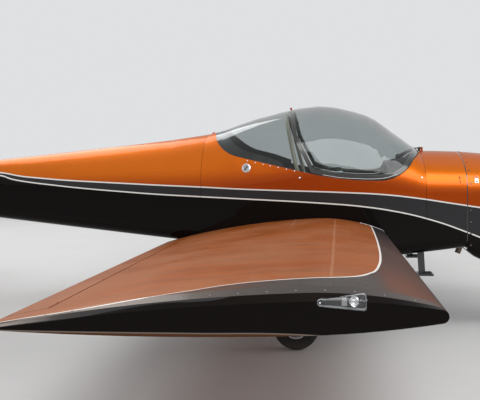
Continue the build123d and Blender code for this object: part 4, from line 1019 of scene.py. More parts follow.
def strap(points, across, width, thickness):
    """Flat webbing: an edge drawn out along points, then given its thickness."""
    places = [Vector(point) for point in points]
    half = Vector(across).normalized() * width / 2
    deselect()
    bpy.ops.mesh.primitive_plane_add(size=1, location=(0, 0, 0))
    made = bpy.context.object
    for corner, place in zip(made.data.vertices, (
            places[0] - half, places[0] + half, places[1] - half, places[1] + half)):
        corner.co = place
    edit(made)
    pick(made, lambda centre, along: (centre - places[1]).length < TOUCHING, "EDGE")
    for before, after in zip(places[1:], places[2:]):
        bpy.ops.mesh.extrude_edges_move(TRANSFORM_OT_translate={"value": after - before})
    bpy.ops.mesh.select_all(action="SELECT")
    bpy.ops.mesh.subdivide(number_cuts=3)
    leave()
    return walled(made, thickness, 0)


def thicken(piece, thickness, offset=-1.0):
    """Gives a sheet its thickness."""
    wall = piece.modifiers.new("wall", "SOLIDIFY")
    wall.thickness = thickness
    wall.offset = offset
    return apply_modifiers(piece)


def walled(piece, thickness, offset=1.0, rounding=0.0):
    """Gives a sheet its thickness, and rounds and smooths it."""
    face_outward(thicken(piece, thickness, offset))
    if rounding:
        bevelled(piece, rounding, angle=SHEET_ANGLE)
    return smooth(piece, SHEET_ANGLE)


def hit(name, origin, direction):
    """Where a ray first meets a CAD node, and the surface's outward direction there."""
    found, place, normal, _ = NODES[name].ray_cast(Vector(origin), Vector(direction).normalized())
    if not found:
        raise RuntimeError(f"nothing of {name} lies along the ray from {tuple(origin)}")
    return place, normal


def above(name, x, y):
    return hit(name, (x, y, OUTSIDE), (0, 0, -1))


def below(name, x, y, start=0):
    return hit(name, (x, y, start), (0, 0, 1))


def beside(name, x, z, side):
    return hit(name, (x, side * OUTSIDE, z), (0, -side, 0))


def smooth_at(points, share):
    """The place at a share, from 0 to 1, of a smooth line through points."""
    last = len(points) - 1
    start = min(int(share * last), last - 1)
    t = share * last - start
    a, b, c, d = (Vector(points[min(max(start + step, 0), last)]) for step in (-1, 0, 1, 2))
    bend, twist = 2 * a - 5 * b + 4 * c - d, 3 * b - a - 3 * c + d
    return (2 * b + (c - a) * t + bend * t ** 2 + twist * t ** 3) / 2


def sheet_between(low, high, rise, columns=32, rows=4):
    """A grid drawn between two lines. A rule puts each corner in place from its share of the way."""
    deselect()
    bpy.ops.mesh.primitive_grid_add(x_subdivisions=columns, y_subdivisions=rows, size=1)
    made = bpy.context.object
    for corner in made.data.vertices:
        share = min(max(corner.co.x + 0.5, 0), 1)
        near, far = smooth_at(low, share), smooth_at(high, share)
        corner.co = rise(near, far, corner.co.y + 0.5)
    return made


def patch(name, low, high, start, way, lift=0.0006, thickness=0.001, columns=32, rows=4):
    """A thin plate on a CAD node. What would fall beside the node moves up towards the far line."""
    def fall(near, far, share):
        for step in range(PATCH_TRIES + 1):
            spot = near.lerp(far, share + (1 - share) * step / PATCH_TRIES)
            found, place, normal, _ = NODES[name].ray_cast(Vector(start(*spot)), Vector(way))
            if found:
                return place + normal * lift
        raise RuntimeError(f"no place on {name} between {tuple(near)} and {tuple(far)}")
    return walled(sheet_between(low, high, fall, columns, rows), thickness)


# Wheels
WHEELS = {"nose": "nose_wheel", "main_right": "right_wheel", "main_left": "left_wheel"}
PORT = (0, 1, 0)
TYRE_RADIUS = 0.150
CROWN_BEND = 5.6
GROOVES = (-0.0215, -0.0072, 0.0072, 0.0215)
GROOVE_DEPTH = 0.0036
RIB_MIDDLE = 0.0072
WHEEL_BOLTS = 6
DISC_INBOARD = 0.0385


def wheel_centre(name):
    low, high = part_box("tyre_" + name)
    return (Vector(low) + Vector(high)) / 2


def tyre_profile():
    """Half widths and radii from one bead over the grooved tread to the other."""
    side = [
        (0.0335, 0.0745), (0.0375, 0.0760), (0.0398, 0.0800), (0.0396, 0.0850), (0.0380, 0.0885),
        (0.0400, 0.0930), (0.0436, 0.1010), (0.0450, 0.1060), (0.0462, 0.1068), (0.0463, 0.1088),
        (0.0452, 0.1096), (0.0458, 0.1160), (0.0452, 0.1230), (0.0432, 0.1305), (0.0398, 0.1370),
        (0.0350, 0.1418), (0.0300, 0.1448)]
    crown = []
    for groove in GROOVES:
        for shift, depth in (
                (-0.0018, 0), (-0.0010, GROOVE_DEPTH), (0.0010, GROOVE_DEPTH), (0.0018, 0),
                (RIB_MIDDLE, 0)):
            along = groove + shift
            crown.append((along, TYRE_RADIUS - CROWN_BEND * along ** 2 - depth))
    return [(-along, radius) for along, radius in side] + crown[:-1] + side[::-1]


class AEROPLANE_OT_wheels(bpy.types.Operator):
    """Tyres with a grooved tread, wheel bolts, valves, brakes and their lines"""

    bl_idname = "aeroplane.wheels"
    bl_label = "Wheels and brakes"

    def execute(self, context):
        bolt = hex_bolt(0.0042, 0.0045)
        nut = hex_bolt(0.0150, 0.0100)
        valve = turned([
            (0, 0.0045), (0.002, 0.0045), (0.003, 0.003), (0.014, 0.003), (0.0145, 0.0036),
            (0.0215, 0.0036), (0.0225, 0.0030), (0.0225, 0)], 16)
        for name, body in WHEELS.items():
            centre = wheel_centre(name)
            tyre = turned(tyre_profile(), 96, centre, PORT, True, 40)
            settle(tyre, "tyre_tread_" + name, "rubber", body)
            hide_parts("tyre_" + name)
            places = []
            for count in range(WHEEL_BOLTS):
                angle = math.tau * count / WHEEL_BOLTS
                arm = Vector((math.cos(angle), 0, math.sin(angle))) * 0.041
                for side in (-1, 1):
                    places.append((centre + arm + Vector((0, side * 0.007, 0)), (0, side, 0), 0.3))
            many(bolt, "wheel_bolts_" + name, "steel", places, body)
            outer = 1 if name == "main_left" else -1
            arm = Vector((math.cos(0.6), 0, math.sin(0.6)))
            foot = centre + arm * 0.0665 + Vector((0, outer * 0.018, 0))
            many(valve, "valve_" + name, "gear", [(foot, -arm + Vector((0, outer * 0.9, 0)))], body)
        for side_name, side in SIDES.items():
            self.brake(side_name, side, nut)
        drop(bolt, valve, nut)
        return {"FINISHED"}

    def brake(self, side_name, side, nut):
        name = "main_" + side_name
        centre = wheel_centre(name)
        x, y, z = centre
        disc_y = -side * DISC_INBOARD
        disc = turned([
            (disc_y - 0.0025, 0.0245), (disc_y - 0.0025, 0.0300), (disc_y - 0.0018, 0.0315),
            (disc_y - 0.0025, 0.0330), (disc_y - 0.0025, 0.0595), (disc_y - 0.0018, 0.0602),
            (disc_y + 0.0018, 0.0602), (disc_y + 0.0025, 0.0595), (disc_y + 0.0025, 0.0245)],
            72, centre, PORT, True, 30)
        settle(disc, "brake_disc_" + side_name, "steel", WHEELS[name])
        many(nut, "axle_nut_" + side_name, "steel",
             [(centre + Vector((0, side * 0.042, 0)), (0, side, 0))])
        # Plates of the caliper: two distances aft of the axle, two inboard, half height, rounding
        caliper = [
            block((x - aft, y - side * far, z - half), (x - ahead, y - side * near, z + half), rounding)
            for aft, ahead, far, near, half, rounding in (
                (0.0610, 0.0360, 0.0518, 0.0425, 0.016, 0.003),
                (0.0610, 0.0360, 0.0345, 0.0270, 0.016, 0.003),
                (0.0635, 0.0608, 0.0518, 0.0270, 0.0130, 0.0008))]
        caliper += [turned([
            (0, 0.0068), (0.006, 0.0068), (0.0078, 0.0058), (0.0078, 0.0025), (0.0066, 0)],
            20, centre + Vector((-0.0480, -side * 0.0500, rise)), (0, -side, 0))
            for rise in (-0.0075, 0.0075)]
        caliper.append(block((x - 0.0520, y - side * 0.0600, z - 0.022),
                             (x - 0.0200, y - side * 0.0510, z + 0.022), 0.0015))
        settle(smooth(join(caliper)), "brake_caliper_" + side_name, "gear")
        line = tube([(x - aft, side * out, height) for aft, out, height in (
            (0.050, 0.850, 0.168), (0.046, 0.835, 0.190), (0.044, 0.770, 0.226), (0.047, 0.620, 0.368),
            (0.052, 0.450, 0.522), (0.054, 0.400, 0.548), (0.054, 0.330, 0.556))], 0.0026)
        settle(line, "brake_line_" + side_name, "gear")


# Wing tip lamps: rounding of the lens, its depth as a share of the solid's, and the light's direction
LAMP_BEVEL = 0.0035
LENS_DEPTH = 0.91
LAMP_AIM = (0.65, 0.75, 0.1)
LAMP_FACE_Y = TIP_Y - 0.025


class AEROPLANE_OT_tip_lamps(bpy.types.Operator):
    """Clear lens, bright liner, reflector, bulb and screw of each wing tip lamp"""

    bl_idname = "aeroplane.tip_lamps"
    bl_label = "Wing tip lamps"

    def execute(self, context):
        for side_name, side in SIDES.items():
            node_name = "tip_lamp_" + side_name
            low, high = (Vector(corner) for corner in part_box(node_name))
            middle = (low + high) / 2
            lens = bevelled(smooth_copy(node_name), LAMP_BEVEL, 3, 40)
            inner = Vector((low.x, side * min(abs(low.y), abs(high.y)), low.z))
            self.cut(lens, lambda centre, normal: normal.y * side < -0.8, (1, LENS_DEPTH, 1), inner)
            smooth(thicken(lens, 0.0016), 45)
            settle(lens, "lamp_lens_" + side_name, "lamp_glass")
            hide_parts(node_name)

            liner = smooth_copy(node_name)
            self.cut(liner, lambda centre, normal: normal.y * side > 0.2, (0.965, 1.0, 0.90), middle,
                      -side * 0.0060)
            bevelled(thicken(liner, 0.0008), 0.0004, 1)
            settle(liner, "lamp_liner_" + side_name, "liner")
            self.light(side_name, side, Vector((
                high.x - 0.050, side * LAMP_FACE_Y, middle.z + 0.001)))
            self.screw(side_name, side, Vector((
                low.x + 0.0105, side * (TIP_Y + 0.0009), middle.z + 0.0002)))
        return {"FINISHED"}

    def cut(self, piece, test, factors, centre, shift=0.0):
        """Takes off the faces that pass a test and resizes what is left."""
        edit(piece)
        pick(piece, test)
        bpy.ops.mesh.delete(type="FACE")
        bpy.ops.mesh.select_all(action="SELECT")
        bpy.ops.transform.resize(value=factors, center_override=centre)
        bpy.ops.transform.translate(value=(0, shift, 0))
        leave()

    def light(self, side_name, side, place):
        """Reflector, bulb and the block that carries them."""
        aim = (LAMP_AIM[0], side * LAMP_AIM[1], LAMP_AIM[2])
        dish = turned([
            (0.014, 0.0175), (0.0155, 0.0185), (0.0165, 0.0180), (0.010, 0.0150),
            (0.004, 0.0105), (0.001, 0.0060), (0.0, 0.0035), (-0.004, 0.0035), (-0.004, 0.0070),
            (0.002, 0.0125), (0.009, 0.0165)], 40, place, aim, True, 40)
        settle(dish, "lamp_dish_" + side_name, "chrome")
        bulb = turned([
            (0.0, 0.0032), (0.004, 0.0032), (0.006, 0.0050), (0.010, 0.0060), (0.014, 0.0052),
            (0.0165, 0.0030), (0.0174, 0)], 24, place, Vector(aim).normalized())
        settle(bulb, "lamp_bulb_" + side_name, "lamp_glass")
        y = side * LAMP_FACE_Y
        mount = block((place.x - 0.030, y - 0.006, place.z - 0.014),
                      (place.x - 0.012, y + 0.004, place.z + 0.012), 0.0015)
        settle(mount, "lamp_mount_" + side_name, "steel")

    def screw(self, side_name, side, place):
        """The screw at the lens's pointed end, on its washer."""
        screw = screw_head(0.0034, 0.0022)
        washer = turned([(0.0, 0.0030), (0.0, 0.0058), (0.0012, 0.0056), (0.0014, 0.0030)],
                        24, closed=True, angle=None)
        many(washer, "lamp_washer_" + side_name, "gear", [(place, (0, side, 0))])
        many(screw, "lamp_screw_" + side_name, "chrome",
             [(place + Vector((0, side * 0.0008, 0)), (0, side, 0), 0.4)])
        drop(screw, washer)


# Seats and belts
CUSHION_SIZE = (0.410, 0.405, 0.092)
BACK_SIZE = (0.455, 0.405, 0.070)
CUSHION_FOOT = 0.7003
CUSHION_TOP = 0.7953
SEAT_Y = 0.222
BACK_LEAN = math.atan2(0.190, 0.405)
BACK_FRONT = Vector((0.545, 0, 0.998))
BACK_UP = Vector((-math.sin(BACK_LEAN), 0, math.cos(BACK_LEAN)))
BACK_OUT = Vector((math.cos(BACK_LEAN), 0, math.sin(BACK_LEAN)))
# How far a stuffed pad may swell, and the depth and half width of its sewn channels
SWELLING = 0.012
STUFFING_FRAMES = 20
CHANNEL_DEPTH, CHANNEL_REACH = 0.0055, 0.009
# Thickness of the belts
WEBBING = 0.0016


def pad(size, rounding=0.020):
    """A stuffed block at the origin: a smaller block blown up as cloth, with its swelling held.

    Its underside, which rests on something, stays flat."""
    start = Vector(size) - Vector((0.022, 0.020, 0.018))
    piece = block(-start / 2, start / 2, 0)
    bevelled(piece, min(rounding, start.z * 0.42), 4)
    remesh = piece.modifiers.new("even", "REMESH")
    remesh.mode = "VOXEL"
    remesh.voxel_size = 0.006
    apply_modifiers(piece)
    before = [corner.co.copy() for corner in piece.data.vertices]
    cloth = piece.modifiers.new("stuffing", "CLOTH")
    cloth.settings.use_pressure = True
    cloth.settings.uniform_pressure_force = 4.0
    cloth.settings.effector_weights.gravity = 0.0
    cloth.point_cache.frame_end = STUFFING_FRAMES
    scene = bpy.context.scene
    for count in range(1, STUFFING_FRAMES + 1):
        scene.frame_set(count)
    apply_modifiers(piece)
    scene.frame_set(1)
    floor = -size[2] / 2
    for corner, place in zip(piece.data.vertices, before):
        way = corner.co - place
        if way.length > SWELLING:
            corner.co = place + way * (SWELLING / way.length)
        corner.co.z = max(corner.co.z, floor)
    soft = piece.modifiers.new("soft", "SUBSURF")
    soft.levels = soft.render_levels = 1
    return smooth(apply_modifiers(piece), 80)


def sewn(piece, lengthways, crossways):
    """Sewn channels pressed in the top, at places on the piece's two axes."""
    for corner in piece.data.vertices:
        if corner.co.z < 0:
            continue
        for axis, places in enumerate((lengthways, crossways)):
            for place in places:
                share = abs(corner.co[axis] - place) / CHANNEL_REACH
                if share < 1:
                    corner.co.z -= CHANNEL_DEPTH * (1 - share ** 2) ** 2
    return piece


class AEROPLANE_OT_seats(bpy.types.Operator):
    """Padded cushions and backs with sewn channels, and four-point belts"""

    bl_idname = "aeroplane.seats"
    bl_label = "Seats and belts"

    def execute(self, context):
        cushion = sewn(pad(CUSHION_SIZE), (0.075, -0.055), (0.118, -0.118))
        back = sewn(pad(BACK_SIZE), (-0.130, -0.045, 0.045, 0.130), (0.118, -0.118))
        for side_name, side in SIDES.items():
            y = side * SEAT_Y
            bottom = copied(cushion)
            bottom.location = (0.845, y, CUSHION_FOOT + CUSHION_SIZE[2] / 2)
            settle(bottom, "seat_cushion_" + side_name, "cloth")
            rest = copied(back)
            place = BACK_FRONT + Vector((0, y, 0)) - BACK_OUT * BACK_SIZE[2] / 2
            turn = Matrix.Rotation(math.pi / 2 - BACK_LEAN, 4, "Y")
            rest.matrix_world = Matrix.Translation(place) @ turn
            settle(rest, "seat_back_" + side_name, "cloth")
            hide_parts("seat_" + side_name)
            self.belts(side_name, y)
            self.buckle(side_name, 0.780, y, CUSHION_TOP + 0.0150)
        drop(cushion, back)
        return {"FINISHED"}

    def belts(self, side_name, y):
        """Two shoulder straps and two lap straps."""
        foot = BACK_FRONT + Vector((0, y, 0)) + BACK_OUT * 0.006
        straps = []
        for shift in (-0.070, 0.070):
            top = foot + Vector((0, shift, 0))
            inward = Vector((0, -shift * 0.45, 0))
            straps.append(strap([
                top + BACK_UP * 0.236 - BACK_OUT * 0.060,
                top + BACK_UP * 0.240 - BACK_OUT * 0.020,
                top + BACK_UP * 0.224 + BACK_OUT * 0.002,
                top + BACK_UP * 0.120,
                top,
                top + inward * 0.5 - BACK_UP * 0.120,
                top + inward - BACK_UP * 0.180 + Vector((0.018, 0, 0)),
                Vector((0.720, y + shift + inward.y * 1.3, CUSHION_TOP + 0.008)),
                Vector((0.770, y + shift * 0.35, CUSHION_TOP + 0.010))],
                PORT, 0.044, WEBBING))
        for side in (-1, 1):
            straps.append(strap([(x, y + side * out, CUSHION_TOP + rise) for x, out, rise in (
                (0.650, 0.208, -0.045), (0.672, 0.198, -0.004), (0.700, 0.160, 0.008),
                (0.735, 0.100, 0.009), (0.775, 0.030, 0.011))], (0.9, 0, 0.2), 0.046, WEBBING))
        settle(join(straps), "belts_" + side_name, "webbing")

    def buckle(self, side_name, x, y, z):
        """A round buckle with a tongue for each strap."""
        parts = [turned([
            (0, 0.030), (0.010, 0.031), (0.015, 0.029), (0.0165, 0.024), (0.0150, 0.020), (0.0150, 0)],
            40, (x, y, z - 0.008), (0.06, 0, 1))]
        for angle in (0.6, -0.6, 2.3, -2.3):
            arm = Vector((math.cos(angle + math.pi), math.sin(angle), 0))
            tongue = block((-0.018, -0.013, -0.0015), (0.018, 0.013, 0.0015), 0.001)
            turn = Matrix.Rotation(math.atan2(arm.y, arm.x), 4, "Z")
            tongue.matrix_world = Matrix.Translation(Vector((x, y, z)) + arm * 0.036) @ turn
            parts.append(freeze(tongue))
        settle(join(parts), "buckle_" + side_name, "chrome")


# Canopy and rear window: the outer and the inner edge of the window's border, as x, height
WINDOW_EDGE = [
    (0.078, 1.430), (0.098, 1.383), (0.148, 1.322), (0.235, 1.272), (0.340, 1.234), (0.440, 1.206),
    (0.530, 1.186), (0.610, 1.168)]
WINDOW_BORDER = [
    (0.165, 1.422), (0.196, 1.393), (0.259, 1.336), (0.330, 1.294), (0.410, 1.272), (0.484, 1.249),
    (0.552, 1.224), (0.610, 1.202)]
# The sill's tube: x, distance from the middle, height. The line of the painted highlight on the canopy's
# foot, and the screws: x, height
SILL_TUBE = [
    (0.806, 0.496, 1.178), (0.8625, 0.506, 1.150), (0.992, 0.510, 1.112), (1.107, 0.509, 1.101),
    (1.229, 0.506, 1.101), (1.351, 0.491, 1.119), (1.425, 0.466, 1.150)]
SILL_HIGHLIGHT = [
    (0.880, 1.118), (0.990, 1.098), (1.107, 1.088), (1.229, 1.084), (1.320, 1.092), (1.385, 1.114)]
WINDOW_SCREWS = [
    (0.409, 1.2090), (0.466, 1.1960), (0.516, 1.1850), (0.572, 1.1730), (0.630, 1.1600),
    (0.352, 1.2230), (0.686, 1.1470)]
SIDE_SCREWS = [(0.722, 1.098), (1.553, 1.087)]


class AEROPLANE_OT_glazing_fittings(bpy.types.Operator):
    """Window border and its screws, sill tubes, painted highlight lines, catches, knobs and panes"""

    bl_idname = "aeroplane.glazing_fittings"
    bl_label = "Canopy and window fittings"

    def execute(self, context):
        borders = [patch(
            "rear_window", [(0.080, -0.13), (0.080, 0.13)], [(0.166, -0.20), (0.166, 0.20)],
            lambda x, y: (x, y, 1.36), (0, 0, 1), 0.0008, -0.0008, 24)]
        for side in SIDES.values():
            borders.append(patch(
                "rear_window", WINDOW_EDGE, WINDOW_BORDER, lambda x, z: (x, 0, z), (0, side, 0),
                0.0008, -0.0008, 56))
        settle(join(borders), "window_border", "dial")
        for radius, height, name, spots in (
                (0.0046, 0.0022, "window_screws", WINDOW_SCREWS),
                (0.0068, 0.0030, "side_screws", SIDE_SCREWS)):
            screw = screw_head(radius, height)
            many(screw, name, "chrome",
                 [beside("cabin_tub", x, z, side) for side in SIDES.values() for x, z in spots])
            drop(screw)
        for side_name, side in SIDES.items():
            self.sill(side_name, side)
            self.catch(side_name, side, side * 0.496)
        knob = turned([
            (-0.004, 0.0085), (0.002, 0.0085), (0.004, 0.0060), (0.009, 0.0058), (0.012, 0.0085),
            (0.017, 0.0088), (0.0205, 0.0066), (0.0215, 0)], 24)
        top, _ = above("canopy_frame", 0.645, 0)
        many(knob, "canopy_knob", "red", [(top - Vector((0, 0, 0.002)), (-0.2, 0, 1))], "canopy")
        cap = turned([
            (-0.002, 0.0125), (0.003, 0.0125), (0.0065, 0.0100), (0.0085, 0.0050), (0.009, 0)], 24)
        many(cap, "crown_cap", "red", [above("cabin_tub", 0.043, 0)])
        drop(knob, cap)
        for node_name, body in (("canopy_glass", "canopy"), ("rear_window", "airframe")):
            pane = smooth(smooth_copy(node_name), 40)
            settle(pane, node_name + "_pane", "glazing", body)
            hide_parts(node_name)
        return {"FINISHED"}

    def sill(self, side_name, side):
        """The tube inside the canopy's foot, on its feet, and outside a thin steel bead that stands for
        the glass edge's highlight: a painted highlight.
        """
        parts = [tube([(x, side * y, z) for x, y, z in SILL_TUBE], 0.0085, sides=5)]
        for x, y, z in SILL_TUBE[::2]:
            parts.append(block((x - 0.012, side * (y - 0.004), z - 0.0035),
                               (x + 0.012, side * (y + 0.0115), z + 0.0035), 0.0015))
        settle(join(parts), "sill_tube_" + side_name, "frame", "canopy")
        # Painted highlight: a thin light steel bead lies where the glass edge shows a bright line
        highlight_line = [beside("canopy_frame", x, z, side)[0] for x, z in SILL_HIGHLIGHT]
        settle(tube(highlight_line, 0.0019, sides=2), "sill_highlight_" + side_name, "steel", "canopy")

    def catch(self, side_name, side, y):
        """A pivot with a lever that widens to its end."""
        pivot = turned([(-0.006, 0.013), (0.004, 0.013), (0.006, 0.011), (0.006, 0)],
                       28, (0.930, y, 1.132), (0, -side, 0))
        lever = taper(
            block((0.930, y, 1.126), (1.020, y - side * 0.008, 1.138), 0.003),
            lambda centre, normal: centre.x > 1.010, (1, 1, 1.7), (1.020, y, 1.132))
        settle(join([pivot, lever]), "canopy_catch_" + side_name, "aluminium", "canopy")


# Fuselage outside
FIREWALL_SEAM_X = 1.876
COWL_AXIS_Z = 0.935
INLET_Y, INLET_Z = 0.190, 0.985


class AEROPLANE_OT_skin_fittings(bpy.types.Operator):
    """Cowling fasteners, latches, oil door, inlet lips and screens, fuel cap and step treads"""

    bl_idname = "aeroplane.skin_fittings"
    bl_label = "Cowling and skin fittings"

    def execute(self, context):
        self.fasteners()
        self.latches()
        self.oil_door()
        self.inlets()
        self.fuel_cap()
        self.steps()
        return {"FINISHED"}

    def fasteners(self):
        """Quarter-turn studs round the cowling's rear edge and along its split, and screws on the deck."""
        places = []
        for angle in (math.radians(degrees) for degrees in range(12, 169, 12)):
            way = Vector((0, math.cos(angle), math.sin(angle)))
            start = Vector((FIREWALL_SEAM_X, 0, COWL_AXIS_Z)) + way
            places.append((*hit("cowling_upper", start, -way), angle))
        for side in SIDES.values():
            for x in (1.940, 2.070, 2.200, 2.330, 2.460, 2.575):
                for node_name, z in (("cowling_upper", 0.944), ("cowling_lower", 0.916)):
                    places.append((*beside(node_name, x, z, side), 0.6))
            for z in (0.860, 0.780, 0.700, 0.620):
                places.append((*beside("cowling_lower", FIREWALL_SEAM_X, z, side), 0.3))
        stud = quarter_turn(0.0062)
        many(stud, "cowling_fasteners", "burnt_steel", places)
        screw = screw_head(0.0040, 0.0020)
        many(screw, "deck_screws", "chrome", [
            above(node_name, x, side * y) for side in SIDES.values()
            for node_name, x, y in (("cabin_tub", 1.5709, 0.145), ("forward_deck", 1.5938, 0.132))])
        drop(stud, screw)

    def latches(self):
        """Cowling latches, and the slot and mark beside each on the deck."""
        base = block((-0.017, -0.0125, 0), (0.017, 0.0125, 0.0018), 0.0006, 1)
        lever = taper(
            block((-0.014, -0.0075, 0.0016), (0.012, 0.0075, 0.0062), 0.0012),
            lambda centre, normal: normal.x < -0.9, (1, 1.25, 0.55), (0, 0, 0.0016))
        hook = tube([(0.010, -0.009, 0.004), (0.028, -0.009, 0.0035), (0.033, 0, 0.0035),
                     (0.028, 0.009, 0.0035), (0.010, 0.009, 0.004)], 0.0013, sides=2)
        latch = join([base, lever, hook])
        for side_name, side in SIDES.items():
            many(latch, "cowling_latch_" + side_name, "aluminium",
                 [(*beside("cowling_upper", 1.917, 1.060, side), math.pi / 2)])
            marks = []
            for z, half_x, half_z in ((1.064, 0.0020, 0.021), (1.084, 0.0085, 0.0024)):
                bar = block((-half_x, -half_z, 0), (half_x, half_z, 0.0016), 0.0004, 1)
                marks.append(placed(bar, *beside("forward_deck", 1.806, z, side)))
                drop(bar)
            settle(join(marks), "deck_slot_" + side_name, "dial")
        drop(latch)

    def oil_door(self):
        door = patch(
            "cowling_upper", [(2.06, -0.285), (2.19, -0.270)], [(2.06, -0.150), (2.19, -0.140)],
            lambda x, y: (x, y, OUTSIDE), (0, 0, -1), 0.0002, 0.0016, 12, 10)
        settle(door, "oil_door", "fuselage")
        hinge = [above("cowling_upper", 2.055, y)[0] + Vector((0, 0, 0.001))
                 for y in (-0.280, -0.240, -0.195, -0.155)]
        settle(tube(hinge, 0.0028, sides=3), "oil_door_hinge", "steel")
        stud = quarter_turn(0.0095)
        place, normal = above("cowling_upper", 2.172, -0.207)
        many(stud, "oil_door_stud", "chrome", [(place + normal * 0.0018, normal, 0.3)])
        drop(stud)

    def inlets(self):
        """Lips round the two air inlets, and wire screens in them and in the slot below."""
        screens = [(y, INLET_Z, (0.118, 0.094), (14, 11)) for y in (-INLET_Y, INLET_Y)]
        screens.append((0.0, 0.775, (0.200, 0.050), (24, 6)))
        lips = [tube([(2.6325, y + 0.0535 * math.cos(step * math.tau / 12),
                       INLET_Z + 0.0415 * math.sin(step * math.tau / 12)) for step in range(12)],
                     0.0038, cyclic=True, resolution=5, sides=3) for y in (-INLET_Y, INLET_Y)]
        settle(join(lips), "inlet_lips", "edge")
        made = []
        for y, z, size, cells in screens:
            deselect()
            bpy.ops.mesh.primitive_grid_add(
                x_subdivisions=cells[0], y_subdivisions=cells[1], size=1, location=(2.598, y, z),
                rotation=(math.pi / 2, 0, math.pi / 2))
            grid = bpy.context.object
            grid.scale = (*size, 1)
            freeze(grid)
            wires = grid.modifiers.new("wires", "WIREFRAME")
            wires.thickness = 0.0014
            made.append(apply_modifiers(grid))
        settle(join(made), "inlet_screens", "steel")

    def fuel_cap(self):
        """Rim, dish and lever with its lock."""
        place, normal = hit("fuel_cap", (0.347, -OUTSIDE, 1.173), (0, 1, 0))
        rim = turned([
            (0.0, 0.0300), (0.0014, 0.0298), (0.0026, 0.0280), (0.0026, 0.0250), (0.0006, 0.0232),
            (0.0, 0.0232)], 48, closed=True)
        dish = turned([(0.0002, 0.0231), (0.0007, 0.0200), (0.0009, 0.0)], 32)
        lever = taper(
            block((-0.0195, -0.0055, 0.0006), (0.0125, 0.0055, 0.0036), 0.0011),
            lambda centre, normal: centre.x < -0.018, (1, 0.6, 0.8), (-0.0195, 0, 0.0006))
        lock = turned([(0, 0.0050), (0.0040, 0.0050), (0.0046, 0.0042), (0.0046, 0.0018), (0.0036, 0.0012),
                       (0.0036, 0)], 20, (0.0128, 0, 0))
        handle = join([lever, lock])
        for part, name, material, spin in (
                (rim, "rim", "chrome", 0), (dish, "dish", "steel", 0), (handle, "lever", "gear", 0.9)):
            many(part, "fuel_cap_" + name, material, [(place, normal, spin)])
            drop(part)

    def steps(self):
        """Rubber ribs across the boarding steps."""
        ribs = []
        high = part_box("boarding_steps")[1]
        for side in SIDES.values():
            for count in range(7):
                y = side * (high[1] - 0.012 - count * 0.0165)
                z = above("boarding_steps", 1.600, y)[0].z
                ribs.append(block(
                    (1.566, y - 0.0052, z - 0.001), (high[0] - 0.008, y + 0.0052, z + 0.0022), 0.001, 1))
        settle(join(ribs), "step_treads", "rubber")


# Cabin: the panel's place and outline, the luggage shelf and the pedals
PANEL_X = 1.400
PANEL_HALF = 0.484
PANEL_FOOT = 0.860
ARCH_TOP = 1.176
ARCH_FALL = 0.105
FACE_X = PANEL_X - 0.002
KNOB_ROW_Z = 0.893
SHELF_HALF = 0.452
PEDAL_AXLE = (1.700, 0.850)
PEDAL_Y = (0.150, 0.290)
AFT = (-1, 0, 0)


def arch(y):
    """Height of the panel's upper edge."""
    return ARCH_TOP - ARCH_FALL * abs(y / PANEL_HALF) ** 2.4


def across_cabin(half, rule, columns, rows):
    """A sheet from side to side of the cabin, from 0 to 1 of the way along its depth or height."""
    return sheet_between([(-half, 0.0), (half, 0.0)], [(-half, 1.0), (half, 1.0)],
                         lambda near, far, share: Vector(rule(near.x, share)), columns, rows)


